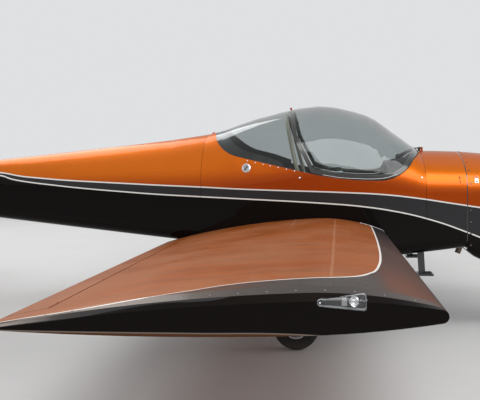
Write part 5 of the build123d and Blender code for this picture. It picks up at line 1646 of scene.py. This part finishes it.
class AEROPLANE_OT_panel(bpy.types.Operator):
    """Instrument panel and hood, dials, screen, radio, switches and push-pull knobs"""

    bl_idname = "aeroplane.panel"
    bl_label = "Instrument panel"

    def execute(self, context):
        face = across_cabin(
            PANEL_HALF, lambda y, share: (PANEL_X, y, PANEL_FOOT + (arch(y) - PANEL_FOOT) * share), 48, 10)
        settle(walled(face, 0.004, 0, 0.001), "panel_face", "trim")
        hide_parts("instrument_panel")
        hood = across_cabin(PANEL_HALF, lambda y, share: (
            1.342 + 0.203 * share, y,
            arch(y) + 0.010 + (0.037 - 0.045 * (y / PANEL_HALF) ** 2) * share), 48, 12)
        stations = (-0.478, -0.44, -0.36, -0.24, -0.12, 0, 0.12, 0.24, 0.36, 0.44, 0.478)
        roll = tube([(1.346, y, arch(y) + 0.005) for y in stations], 0.0095)
        settle(join([walled(hood, 0.009, -1, 0.0025), roll]), "panel_hood", "dial")
        self.dials()
        self.screen()
        self.controls()
        self.compass()
        return {"FINISHED"}

    def dials(self):
        """Made looking up along Z at the origin, then copied on the panel at two sizes."""
        spots = [(y, z, 1.0) for y in (0.385, 0.290, 0.195) for z in (1.062, 0.968)]
        spots += [(-y, z, 0.68) for y in (0.175, 0.240, 0.305, 0.370) for z in (1.070, 1.004)]
        bezel = turned([
            (-0.001, 0.0365), (-0.001, 0.0430), (0.0035, 0.0430), (0.0060, 0.0415), (0.0060, 0.0385),
            (0.0020, 0.0365)], 48, closed=True)
        ear = screw_head(0.0028, 0.0016)
        ears = [placed(ear, (x, y, 0.0010), UP) for x in (-0.034, 0.034) for y in (-0.034, 0.034)]
        plate = join([block((-0.0405, -0.0405, -0.0012), (0.0405, 0.0405, 0.0012), 0.0010, 1), bezel])
        dial_face = turned([(0.0014, 0.0375), (0.0016, 0.0350), (0.0016, 0.0)], 40)
        ticks = []
        for count in range(25):
            length = 0.0062 if count % 4 == 0 else 0.0036
            tick = block((-0.0006, 0.0335 - length, 0.0016), (0.0006, 0.0335, 0.0021), 0)
            ticks.append(placed(tick, (0, 0, 0), UP, math.radians(-135 + count * 270 / 24)))
            drop(tick)
        needle = taper(
            block((-0.0009, -0.007, 0.0022), (0.0009, 0.0275, 0.0030), 0),
            lambda centre, normal: normal.y > 0.9, (0.25, 1, 1), (0, 0.0275, 0.0026))
        hub = turned([(0.0022, 0.0034), (0.0040, 0.0030), (0.0044, 0)], 16, angle=None)
        needle = join([needle, hub])
        marks = join(ticks)
        facing = Matrix(((0, 0, -1), (-1, 0, 0), (0, 1, 0))).to_4x4()
        for name, material, sources in (
                ("bezels", "gear", [plate]), ("faces", "dial", [dial_face]),
                ("marks", "mark", [marks, needle]), ("screws", "chrome", ears)):
            made = []
            for order, (y, z, size) in enumerate(spots):
                for source in sources:
                    turn = -2.0 + order * 0.83 if source is needle else 0.0
                    part = copied(source)
                    part.matrix_world = (
                        Matrix.Translation((PANEL_X - 0.0026, y, z)) @ facing
                        @ Matrix.Rotation(turn, 4, "Z") @ Matrix.Scale(size, 4))
                    made.append(part)
            settle(join([freeze(part) for part in made]), "dial_" + name, material)
        drop(plate, dial_face, marks, needle, ear, *ears)

    def screen(self):
        """The screen in its case, and the radio below it."""
        case = block((FACE_X - 0.010, -0.098, 0.990), (FACE_X, 0.098, 1.128), 0.004)
        edit(case)
        pick(case, lambda centre, normal: normal.x < -0.95)
        bpy.ops.mesh.inset(thickness=0.008, depth=0)
        bpy.ops.transform.translate(value=(0.003, 0, 0))
        leave()
        parts = [case, block((FACE_X - 0.007, -0.080, 0.925), (FACE_X, 0.080, 0.970), 0.002)]
        for y in (-0.060 + count * 0.030 for count in range(5)):
            parts.append(block(
                (FACE_X - 0.0135, y - 0.009, 0.9925), (FACE_X - 0.009, y + 0.009, 0.9985), 0.001, 1))
        settle(join(parts), "panel_screen", "gear")
        glass = block((FACE_X - 0.0078, -0.088, 1.002), (FACE_X - 0.0066, 0.088, 1.118), 0.0004, 1)
        window = block((FACE_X - 0.0076, -0.050, 0.936), (FACE_X - 0.0064, 0.030, 0.960), 0.0004, 1)
        settle(join([glass, window]), "screen_glass", "display")
        knob = turned([(0, 0.0105), (0.002, 0.0105), (0.003, 0.0085), (0.014, 0.0078), (0.016, 0.0060),
                       (0.016, 0)], 20)
        many(knob, "radio_knobs", "dial", [((FACE_X - depth, y, z), AFT) for depth, y, z in (
            (0.007, 0.064, 0.948), (0.007, -0.066, 0.948),
            (0.010, 0.1065, 1.060), (0.010, -0.1065, 1.060))])
        drop(knob)

    def controls(self):
        """Two rows of rocker switches, the throttle and two more push-pull knobs."""
        switch = block((-0.0065, -0.0105, 0), (0.0065, 0.0105, 0.004), 0.0015)
        paddle = block((-0.0045, -0.008, 0.003), (0.0045, 0.008, 0.0085), 0.002)
        edit(paddle)
        pick(paddle, lambda centre, normal: normal.z > 0.9)
        bpy.ops.transform.translate(value=(0, 0.003, 0))
        leave()
        rocker = join([switch, paddle])
        many(rocker, "switches", "dial", [
            ((FACE_X, first - count * 0.036, KNOB_ROW_Z), AFT)
            for first in (0.400, -0.150) for count in range(8)])
        collar = turned([(0, 0.013), (0.003, 0.013), (0.004, 0.010), (0.004, 0.0045), (0.030, 0.0045),
                         (0.030, 0)], 20)
        handle = turned([
            (0.028, 0.0050), (0.030, 0.0120), (0.034, 0.0150), (0.040, 0.0158), (0.046, 0.0140),
            (0.049, 0.0080), (0.050, 0)], 28)
        spots = [((FACE_X, y, KNOB_ROW_Z), AFT) for y in (0.075, 0.0, -0.075)]
        many(collar, "throttle_rods", "steel", spots)
        many(handle, "throttle_knob", "dial", spots[:1])
        many(handle, "choke_knobs", "red", spots[1:])
        drop(rocker, collar, handle)

    def compass(self):
        base = block((1.415, -0.024, arch(0) + 0.016), (1.465, 0.024, arch(0) + 0.030), 0.004)
        ball = turned([(-0.022, 0), (-0.0205, 0.010), (-0.014, 0.0190), (0.0, 0.0235), (0.014, 0.0190),
                       (0.0205, 0.010), (0.022, 0)], 32, (1.440, 0, arch(0) + 0.046))
        settle(join([base, ball]), "compass", "propeller")


class AEROPLANE_OT_cabin_controls(bpy.types.Operator):
    """Stick grips and gaiters, rudder pedals, flap lever, carpet and luggage shelf"""

    bl_idname = "aeroplane.cabin_controls"
    bl_label = "Cabin controls and trim"

    def execute(self, context):
        self.sticks()
        self.pedals()
        self.flap_lever()
        self.shelf()
        return {"FINISHED"}

    def sticks(self):
        grip = turned([
            (-0.006, 0.0150), (-0.004, 0.0200), (0.004, 0.0208), (0.014, 0.0198), (0.024, 0.0208),
            (0.034, 0.0196), (0.044, 0.0208), (0.054, 0.0196), (0.066, 0.0204), (0.080, 0.0200),
            (0.090, 0.0214), (0.100, 0.0205), (0.106, 0.0150), (0.108, 0)], 28)
        gaiter = turned([
            (0.0, 0.066), (0.004, 0.067), (0.007, 0.060), (0.012, 0.056), (0.018, 0.058), (0.024, 0.050),
            (0.030, 0.045), (0.036, 0.047), (0.042, 0.039), (0.048, 0.034), (0.054, 0.035), (0.062, 0.025),
            (0.070, 0.015)], 40, angle=60)
        button = turned([(0, 0.0045), (0.003, 0.0045), (0.0042, 0.0036), (0.0045, 0)], 14, angle=None)
        lean = Vector((-0.035, 0, 0.26)).normalized()
        tops = [Vector((1.1265, side * SEAT_Y, 0.857)) for side in SIDES.values()]
        many(grip, "stick_grips", "rubber", [(top, lean) for top in tops])
        many(button, "stick_buttons", "red",
             [(top + lean * 0.090 + Vector((-0.0205, 0, 0)), (-1, 0, 0.1)) for top in tops])
        many(gaiter, "stick_gaiters", "trim",
             [((1.160, side * SEAT_Y, 0.6005), (-0.05, 0, 1)) for side in SIDES.values()])
        drop(grip, gaiter, button)

    def pedals(self):
        """Four pedals that hang from one cross tube."""
        x, z = PEDAL_AXLE
        arms, pads = [tube([(x, y, z) for y in (-0.400, 0, 0.400)], 0.011)], []
        for y in (-PEDAL_Y[1], -PEDAL_Y[0], *PEDAL_Y):
            arms.append(tube([(x, y, z), (1.692, y, 0.780), (1.668, y, 0.700)], 0.008))
            pads.append(block((1.655, y - 0.042, 0.655), (1.668, y + 0.042, 0.735), 0.003))
            for rise in (0.668, 0.684, 0.700, 0.716):
                pads.append(block((1.651, y - 0.036, rise), (1.656, y + 0.036, rise + 0.007), 0.001, 1))
        settle(join(arms), "pedal_arms", "steel")
        settle(join(pads), "pedal_pads", "rubber")

    def flap_lever(self):
        rod = tube([(0.800, 0, 0.694), (0.860, 0, 0.760), (0.930, 0, 0.812), (0.985, 0, 0.850)], 0.0065)
        guide = block((0.760, -0.014, 0.695), (0.905, 0.014, 0.712), 0.003)
        settle(join([rod, guide]), "flap_lever", "steel")
        grip = turned([
            (-0.030, 0.0085), (-0.028, 0.0130), (-0.010, 0.0140), (0.015, 0.0135), (0.045, 0.0140),
            (0.058, 0.0120), (0.063, 0.0060), (0.064, 0)],
            24, (0.985, 0, 0.850), Vector((0.055, 0, 0.038)).normalized())
        settle(grip, "flap_lever_grip", "rubber")

    def shelf(self):
        """Padded floor of the luggage bay, its front lip and the straps across it."""
        floor = across_cabin(SHELF_HALF, lambda y, share: (
            0.030 + 0.330 * share, y * (0.985 + 0.02 * share), 1.060 - 0.008 * math.cos(y * 9)), 40, 14)
        settle(walled(floor, 0.012, 0, 0.003), "luggage_floor", "carpet")
        lip = tube([(0.365, y, 1.060) for y in (-0.455, -0.3, 0, 0.3, 0.455)], 0.012)
        settle(lip, "luggage_lip", "frame")
        belts = [strap([(0.040, y, 1.068), (0.120, y, 1.070), (0.280, y, 1.070), (0.362, y, 1.075)],
                       PORT, 0.030, WEBBING) for y in (-0.220, 0.220)]
        settle(join(belts), "luggage_straps", "webbing")


# Propeller and spinner
HUB = Vector((2.700, 0, HUB_Z))
BLADES = (-90, 30, 150)
GUARD_START, GUARD_END = 0.360, 0.735
SCREW_RING = Vector((2.667, 0, HUB_Z))
SPINNER_SCREWS = 15
SPINNER_RADIUS = 0.12


def lead_reach(arm, lead, radius):
    """How far a blade's leading edge stands out from the blade's own line at a radius."""
    data = NODES["propeller"].data
    reach = []
    for side in data.edges:
        near, far = (data.vertices[index].co - HUB for index in side.vertices)
        low, high = near.dot(arm), far.dot(arm)
        if (low - radius) * (high - radius) < 0:
            reach.append(near.lerp(far, (radius - low) / (high - low)).dot(lead))
    return max(reach)


class AEROPLANE_OT_propeller_fittings(bpy.types.Operator):
    """Metal guards on the blades' leading edges and the screws round the spinner"""

    bl_idname = "aeroplane.propeller_fittings"
    bl_label = "Propeller guards and spinner screws"

    def execute(self, context):
        guards = [self.guard(math.radians(angle)) for angle in BLADES]
        settle(join(guards), "blade_guards", "aluminium", "propeller_body")
        screw = screw_head(0.0034, 0.0018)
        places = []
        for count in range(SPINNER_SCREWS):
            angle = math.tau * (count + 0.5) / SPINNER_SCREWS
            way = Vector((0, math.cos(angle), math.sin(angle)))
            place, normal = hit("spinner", SCREW_RING + way * 0.4, -way)
            if (place - SCREW_RING).length > SPINNER_RADIUS:
                places.append((place, normal))
        many(screw, "spinner_screws", "chrome", places, "propeller_body")
        drop(screw)
        return {"FINISHED"}

    def guard(self, angle):
        """The blade's skin near its leading edge, cut out by three planes and raised a little."""
        arm = Vector((0, math.cos(angle), math.sin(angle)))
        lead = Vector((0, -math.sin(angle), math.cos(angle)))
        inner = arm * GUARD_START + lead * (lead_reach(arm, lead, GUARD_START) - 0.017)
        outer = arm * GUARD_END + lead * (lead_reach(arm, lead, GUARD_END) - 0.011)
        along = (outer - inner).normalized()
        guard = smooth_copy("propeller")
        edit(guard)
        for place, way in ((inner, arm), (outer, -arm), (inner, lead - along * along.dot(lead))):
            bpy.ops.mesh.select_all(action="SELECT")
            bpy.ops.mesh.bisect(plane_co=HUB + place, plane_no=way, clear_inner=True)
        bpy.ops.mesh.select_all(action="SELECT")
        bpy.ops.transform.shrink_fatten(value=0.0004)
        leave()
        return walled(guard, 0.0005)


# Wings and tail
TIP_SCREW_PAIRS = 15
PLATE_SCREWS = 6
PLATE_SCREW_CIRCLE = 0.047
BEAD_Y = 0.5335
PROBE_Y = 2.000
TAB_HORN_Y = -0.300


class AEROPLANE_OT_wing_fittings(bpy.types.Operator):
    """Tip screws, root bead, inspection plates, hinges, horns and the air-speed tube"""

    bl_idname = "aeroplane.wing_fittings"
    bl_label = "Wing fittings"

    def execute(self, context):
        screw = screw_head(0.0027, 0.0014)
        plate = turned([(-0.002, 0.0560), (0.0008, 0.0560), (0.0016, 0.0545), (0.0016, 0.0)], 40)
        turns = [step * math.tau / PLATE_SCREWS for step in range(PLATE_SCREWS)]
        plate_screws = join([placed(screw, (
            PLATE_SCREW_CIRCLE * math.cos(turn), PLATE_SCREW_CIRCLE * math.sin(turn), 0.0014), UP)
            for turn in turns])
        for side_name, side in SIDES.items():
            wing, tip = "wing_" + side_name, "wing_tip_" + side_name
            tops = []
            for x in (1.200 - count * 0.095 for count in range(TIP_SCREW_PAIRS)):
                tops += [above(tip, x, side * 3.228), below(tip, x, side * 3.228, -1)]
            tops += [above(wing, x, side * y) for x, y in ((1.033, 2.980), (1.051, 3.060))]
            many(screw, "tip_screws_" + side_name, "steel", [(*top, 0.4) for top in tops])
            bead = [above(wing, x, side * BEAD_Y)[0]
                    for x in (1.130, 1.170, 1.210, 1.245, 1.270, 1.287, 1.296)]
            settle(tube(bead, 0.0020, sides=2), "root_bead_" + side_name, "liner")
            spots = [below(wing, x, side * y) for y in (0.95, 1.65, 2.35, 2.85) for x in (0.78, 0.24)]
            many(plate, "inspection_plates_" + side_name, "wing", spots)
            many(plate_screws, "plate_screws_" + side_name, "steel", spots)
            self.hinges(side_name, side)
            self.horns(side_name, side)
        drop(screw, plate, plate_screws)
        self.air_speed_tube()
        return {"FINISHED"}

    def hinges(self, side_name, side):
        brackets = []
        for y in (side * out for out in (0.72, 1.15, 1.60, 1.92, 2.42, 2.92)):
            z = below("wing_" + side_name, -0.040, y)[0].z
            brackets += [
                taper(block((-0.078, y - 0.004, z - 0.018), (-0.010, y + 0.004, z + 0.004), 0.0015),
                      lambda centre, normal: normal.x > 0.9, (1, 1, 0.25), (-0.010, y, z + 0.004)),
                turned([(-0.0065, 0.0045), (0.0065, 0.0045), (0.0065, 0)], 16,
                       (-0.070, y, z - 0.010), PORT, angle=None)]
        settle(join(brackets), "hinge_brackets_" + side_name, "aluminium")

    def horns(self, side_name, side):
        """A horn below each aileron and flap, with a ball for its push rod."""
        for surface, y in (("aileron", side * 2.30), ("flap", side * 0.90)):
            z = below(surface + "_" + side_name, -0.125, y)[0].z
            horn = taper(
                block((-0.150, y - 0.0025, z - 0.040), (-0.100, y + 0.0025, z + 0.006), 0.001),
                lambda centre, normal: normal.z < -0.9, (0.35, 1, 1), (-0.108, y, z - 0.040))
            ball = turned([(-0.007, 0), (-0.006, 0.004), (-0.003, 0.0062), (0.003, 0.0062), (0.006, 0.004),
                           (0.007, 0)], 20, (-0.113, y, z - 0.032), PORT)
            settle(join([horn, ball]), surface + "_horn_" + side_name, "aluminium",
                   side_name + "_" + surface)

    def air_speed_tube(self):
        z = below("wing_left", 1.060, PROBE_Y)[0].z
        mast = taper(
            block((1.030, PROBE_Y - 0.005, z - 0.062), (1.078, PROBE_Y + 0.005, z + 0.010), 0.003),
            lambda centre, normal: normal.z < -0.9, (0.55, 1, 1), (1.078, PROBE_Y, z - 0.062))
        probe = turned([
            (-0.060, 0), (-0.058, 0.0045), (-0.050, 0.0062), (0.110, 0.0055), (0.140, 0.0045),
            (0.152, 0.0036), (0.152, 0.0022), (0.130, 0.0018), (0.130, 0)],
            24, (1.090, PROBE_Y, z - 0.060), (1, 0, 0))
        settle(join([mast, probe]), "air_speed_tube", "aluminium")


class AEROPLANE_OT_tail_fittings(bpy.types.Operator):
    """Trim tab with its horn and rod, hinges and tie-down ring"""

    bl_idname = "aeroplane.tail_fittings"
    bl_label = "Tail fittings"

    def execute(self, context):
        self.trim_tab()
        self.hinges()
        bottom = below("tail_cone", -2.480, 0)[0].z
        ring = tube([(-2.480 + 0.017 * math.cos(step * math.tau / 8), 0,
                      bottom - 0.014 + 0.017 * math.sin(step * math.tau / 8)) for step in range(8)],
                    0.0036, cyclic=True)
        base = block((-2.520, -0.016, bottom - 0.004), (-2.440, 0.016, bottom + 0.010), 0.002)
        settle(join([ring, base]), "tail_ring", "steel")
        return {"FINISHED"}

    def trim_tab(self):
        edges = [(-2.603, -0.48), (-2.603, -0.14)], [(-2.540, -0.48), (-2.540, -0.14)]
        tab = [patch("elevator", *edges, lambda x, y: (x, y, start), (0, 0, way), 0.0003, 0.0012, 24)
               for start, way in ((OUTSIDE, -1), (0, 1))]
        settle(join(tab), "trim_tab", "tail", "elevator_body")
        z = below("elevator", -2.560, TAB_HORN_Y)[0].z
        horn = block((-2.572, TAB_HORN_Y - 0.002, z - 0.030),
                     (-2.548, TAB_HORN_Y + 0.002, z + 0.004), 0.001)
        rod = tube([(x, TAB_HORN_Y, z - fall) for x, fall in (
            (-2.556, 0.025), (-2.50, 0.023), (-2.430, 0.010))], 0.0022, sides=2)
        settle(join([horn, rod]), "trim_rod", "aluminium", "elevator_body")

    def hinges(self):
        """Brackets under the tailplane and on both sides of the fin."""
        brackets = []
        for y in (side * out for side in SIDES.values() for out in (0.20, 0.62, 1.06)):
            z = below("tailplane", -2.345, y)[0].z
            brackets.append(block((-2.372, y - 0.004, z - 0.010), (-2.325, y + 0.004, z + 0.003), 0.0012))
        for z in (1.24, 1.50, 1.78):
            for side in SIDES.values():
                y = hit("fin", (-2.590, side, z), (0, -side, 0))[0].y
                brackets.append(block((-2.612, y - side * 0.002, z - 0.010),
                                      (-2.584, y + side * 0.0035, z + 0.010), 0.0012))
        settle(join(brackets), "tail_hinges", "steel")


# Undercarriage and exhaust
FORK_AXIS = Vector((-0.173648, 0, 0.984808))
FORK_AHEAD = Vector((0.984808, 0, 0.173648))
SPRING_FOOT = Vector((2.184, 0, 0.372))
PIPE = Vector((1.9363, 0.175, 0.560))
PIPE_AXIS = (0.357, 0, 0.934)


class AEROPLANE_OT_gear_fittings(bpy.types.Operator):
    """Fork bolts and axle nuts, spring washers, leg bolts and the exhaust clamp"""

    bl_idname = "aeroplane.gear_fittings"
    bl_label = "Undercarriage and exhaust fittings"

    def execute(self, context):
        nut, bolt = hex_bolt(0.0135, 0.0090), hex_bolt(0.0048, 0.0045)
        centre = wheel_centre("nose")
        many(nut, "fork_nuts", "steel", [
            (centre + Vector((0, side * 0.0710, 0)), (0, side, 0), 0.2) for side in SIDES.values()],
            "steered_fork")
        places = []
        for side in SIDES.values():
            for shift in (-0.012, 0.012):
                start = SPRING_FOOT - FORK_AXIS * 0.014 + FORK_AHEAD * shift + Vector((0, side, 0))
                places.append((*hit("nose_fork", start, (0, -side, 0)), 0.2))
        many(bolt, "fork_bolts", "steel", places, "steered_fork")
        washers = [turned([(-0.0014, 0.0285), (-0.0014, 0.0430), (0.0014, 0.0430), (0.0014, 0.0285)], 40,
                          SPRING_FOOT + FORK_AXIS * (0.035 + step * 0.026), FORK_AXIS, closed=True)
                   for step in range(4)]
        settle(smooth(join(washers)), "spring_washers", "steel")
        self.clamp(bolt)
        many(bolt, "leg_bolts", "steel", [
            (*above("main_leg_" + side_name, x, side * 0.395), 0.3)
            for side_name, side in SIDES.items() for x in (0.670, 0.730)])
        drop(nut, bolt)
        return {"FINISHED"}

    def clamp(self, bolt):
        """The band round the exhaust pipe, with two ears and a bolt through them."""
        x, y, z = PIPE
        band = turned([(-0.008, 0.0215), (-0.008, 0.0238), (0.008, 0.0238), (0.008, 0.0215)], 40,
                      PIPE, Vector(PIPE_AXIS).normalized(), closed=True)
        ears = [block((x + 0.020, y + shift - 0.002, z - 0.008),
                      (x + 0.042, y + shift + 0.002, z + 0.008), 0.0008) for shift in (-0.005, 0.005)]
        parts = [band, *ears, placed(bolt, (x + 0.034, y + 0.007, z), PORT)]
        settle(smooth(join(parts)), "exhaust_clamp", "steel")


OPERATORS = (
    AEROPLANE_OT_stage, AEROPLANE_OT_wheels, AEROPLANE_OT_tip_lamps, AEROPLANE_OT_seats,
    AEROPLANE_OT_glazing_fittings, AEROPLANE_OT_skin_fittings, AEROPLANE_OT_panel,
    AEROPLANE_OT_cabin_controls, AEROPLANE_OT_propeller_fittings, AEROPLANE_OT_wing_fittings,
    AEROPLANE_OT_tail_fittings, AEROPLANE_OT_gear_fittings)
GROUPS = (AeroplanePaint, AeroplaneCamera)


class AEROPLANE_PT_pieces(bpy.types.Panel):
    """The aeroplane's pieces, in the order in which they are made"""

    bl_label = "Aeroplane"
    bl_idname = "AEROPLANE_PT_pieces"
    bl_space_type = "VIEW_3D"
    bl_region_type = "UI"
    bl_category = "Aeroplane"

    def draw(self, context):
        for operator in OPERATORS:
            self.layout.operator(operator.bl_idname)


def register():
    for group_class in GROUPS:
        bpy.utils.register_class(group_class)
    bpy.types.Scene.aeroplane_paint = PointerProperty(type=AeroplanePaint)
    bpy.types.Scene.aeroplane_camera = PointerProperty(type=AeroplaneCamera)
    for operator in OPERATORS:
        bpy.utils.register_class(operator)
    bpy.utils.register_class(AEROPLANE_PT_pieces)


def unregister():
    bpy.utils.unregister_class(AEROPLANE_PT_pieces)
    for operator in reversed(OPERATORS):
        bpy.utils.unregister_class(operator)
    del bpy.types.Scene.aeroplane_camera
    del bpy.types.Scene.aeroplane_paint
    for group_class in reversed(GROUPS):
        bpy.utils.unregister_class(group_class)


def main():
    register()
    for operator in OPERATORS:
        family, name = operator.bl_idname.split(".")
        getattr(getattr(bpy.ops, family), name)()


if __name__ == "__main__":
    main()
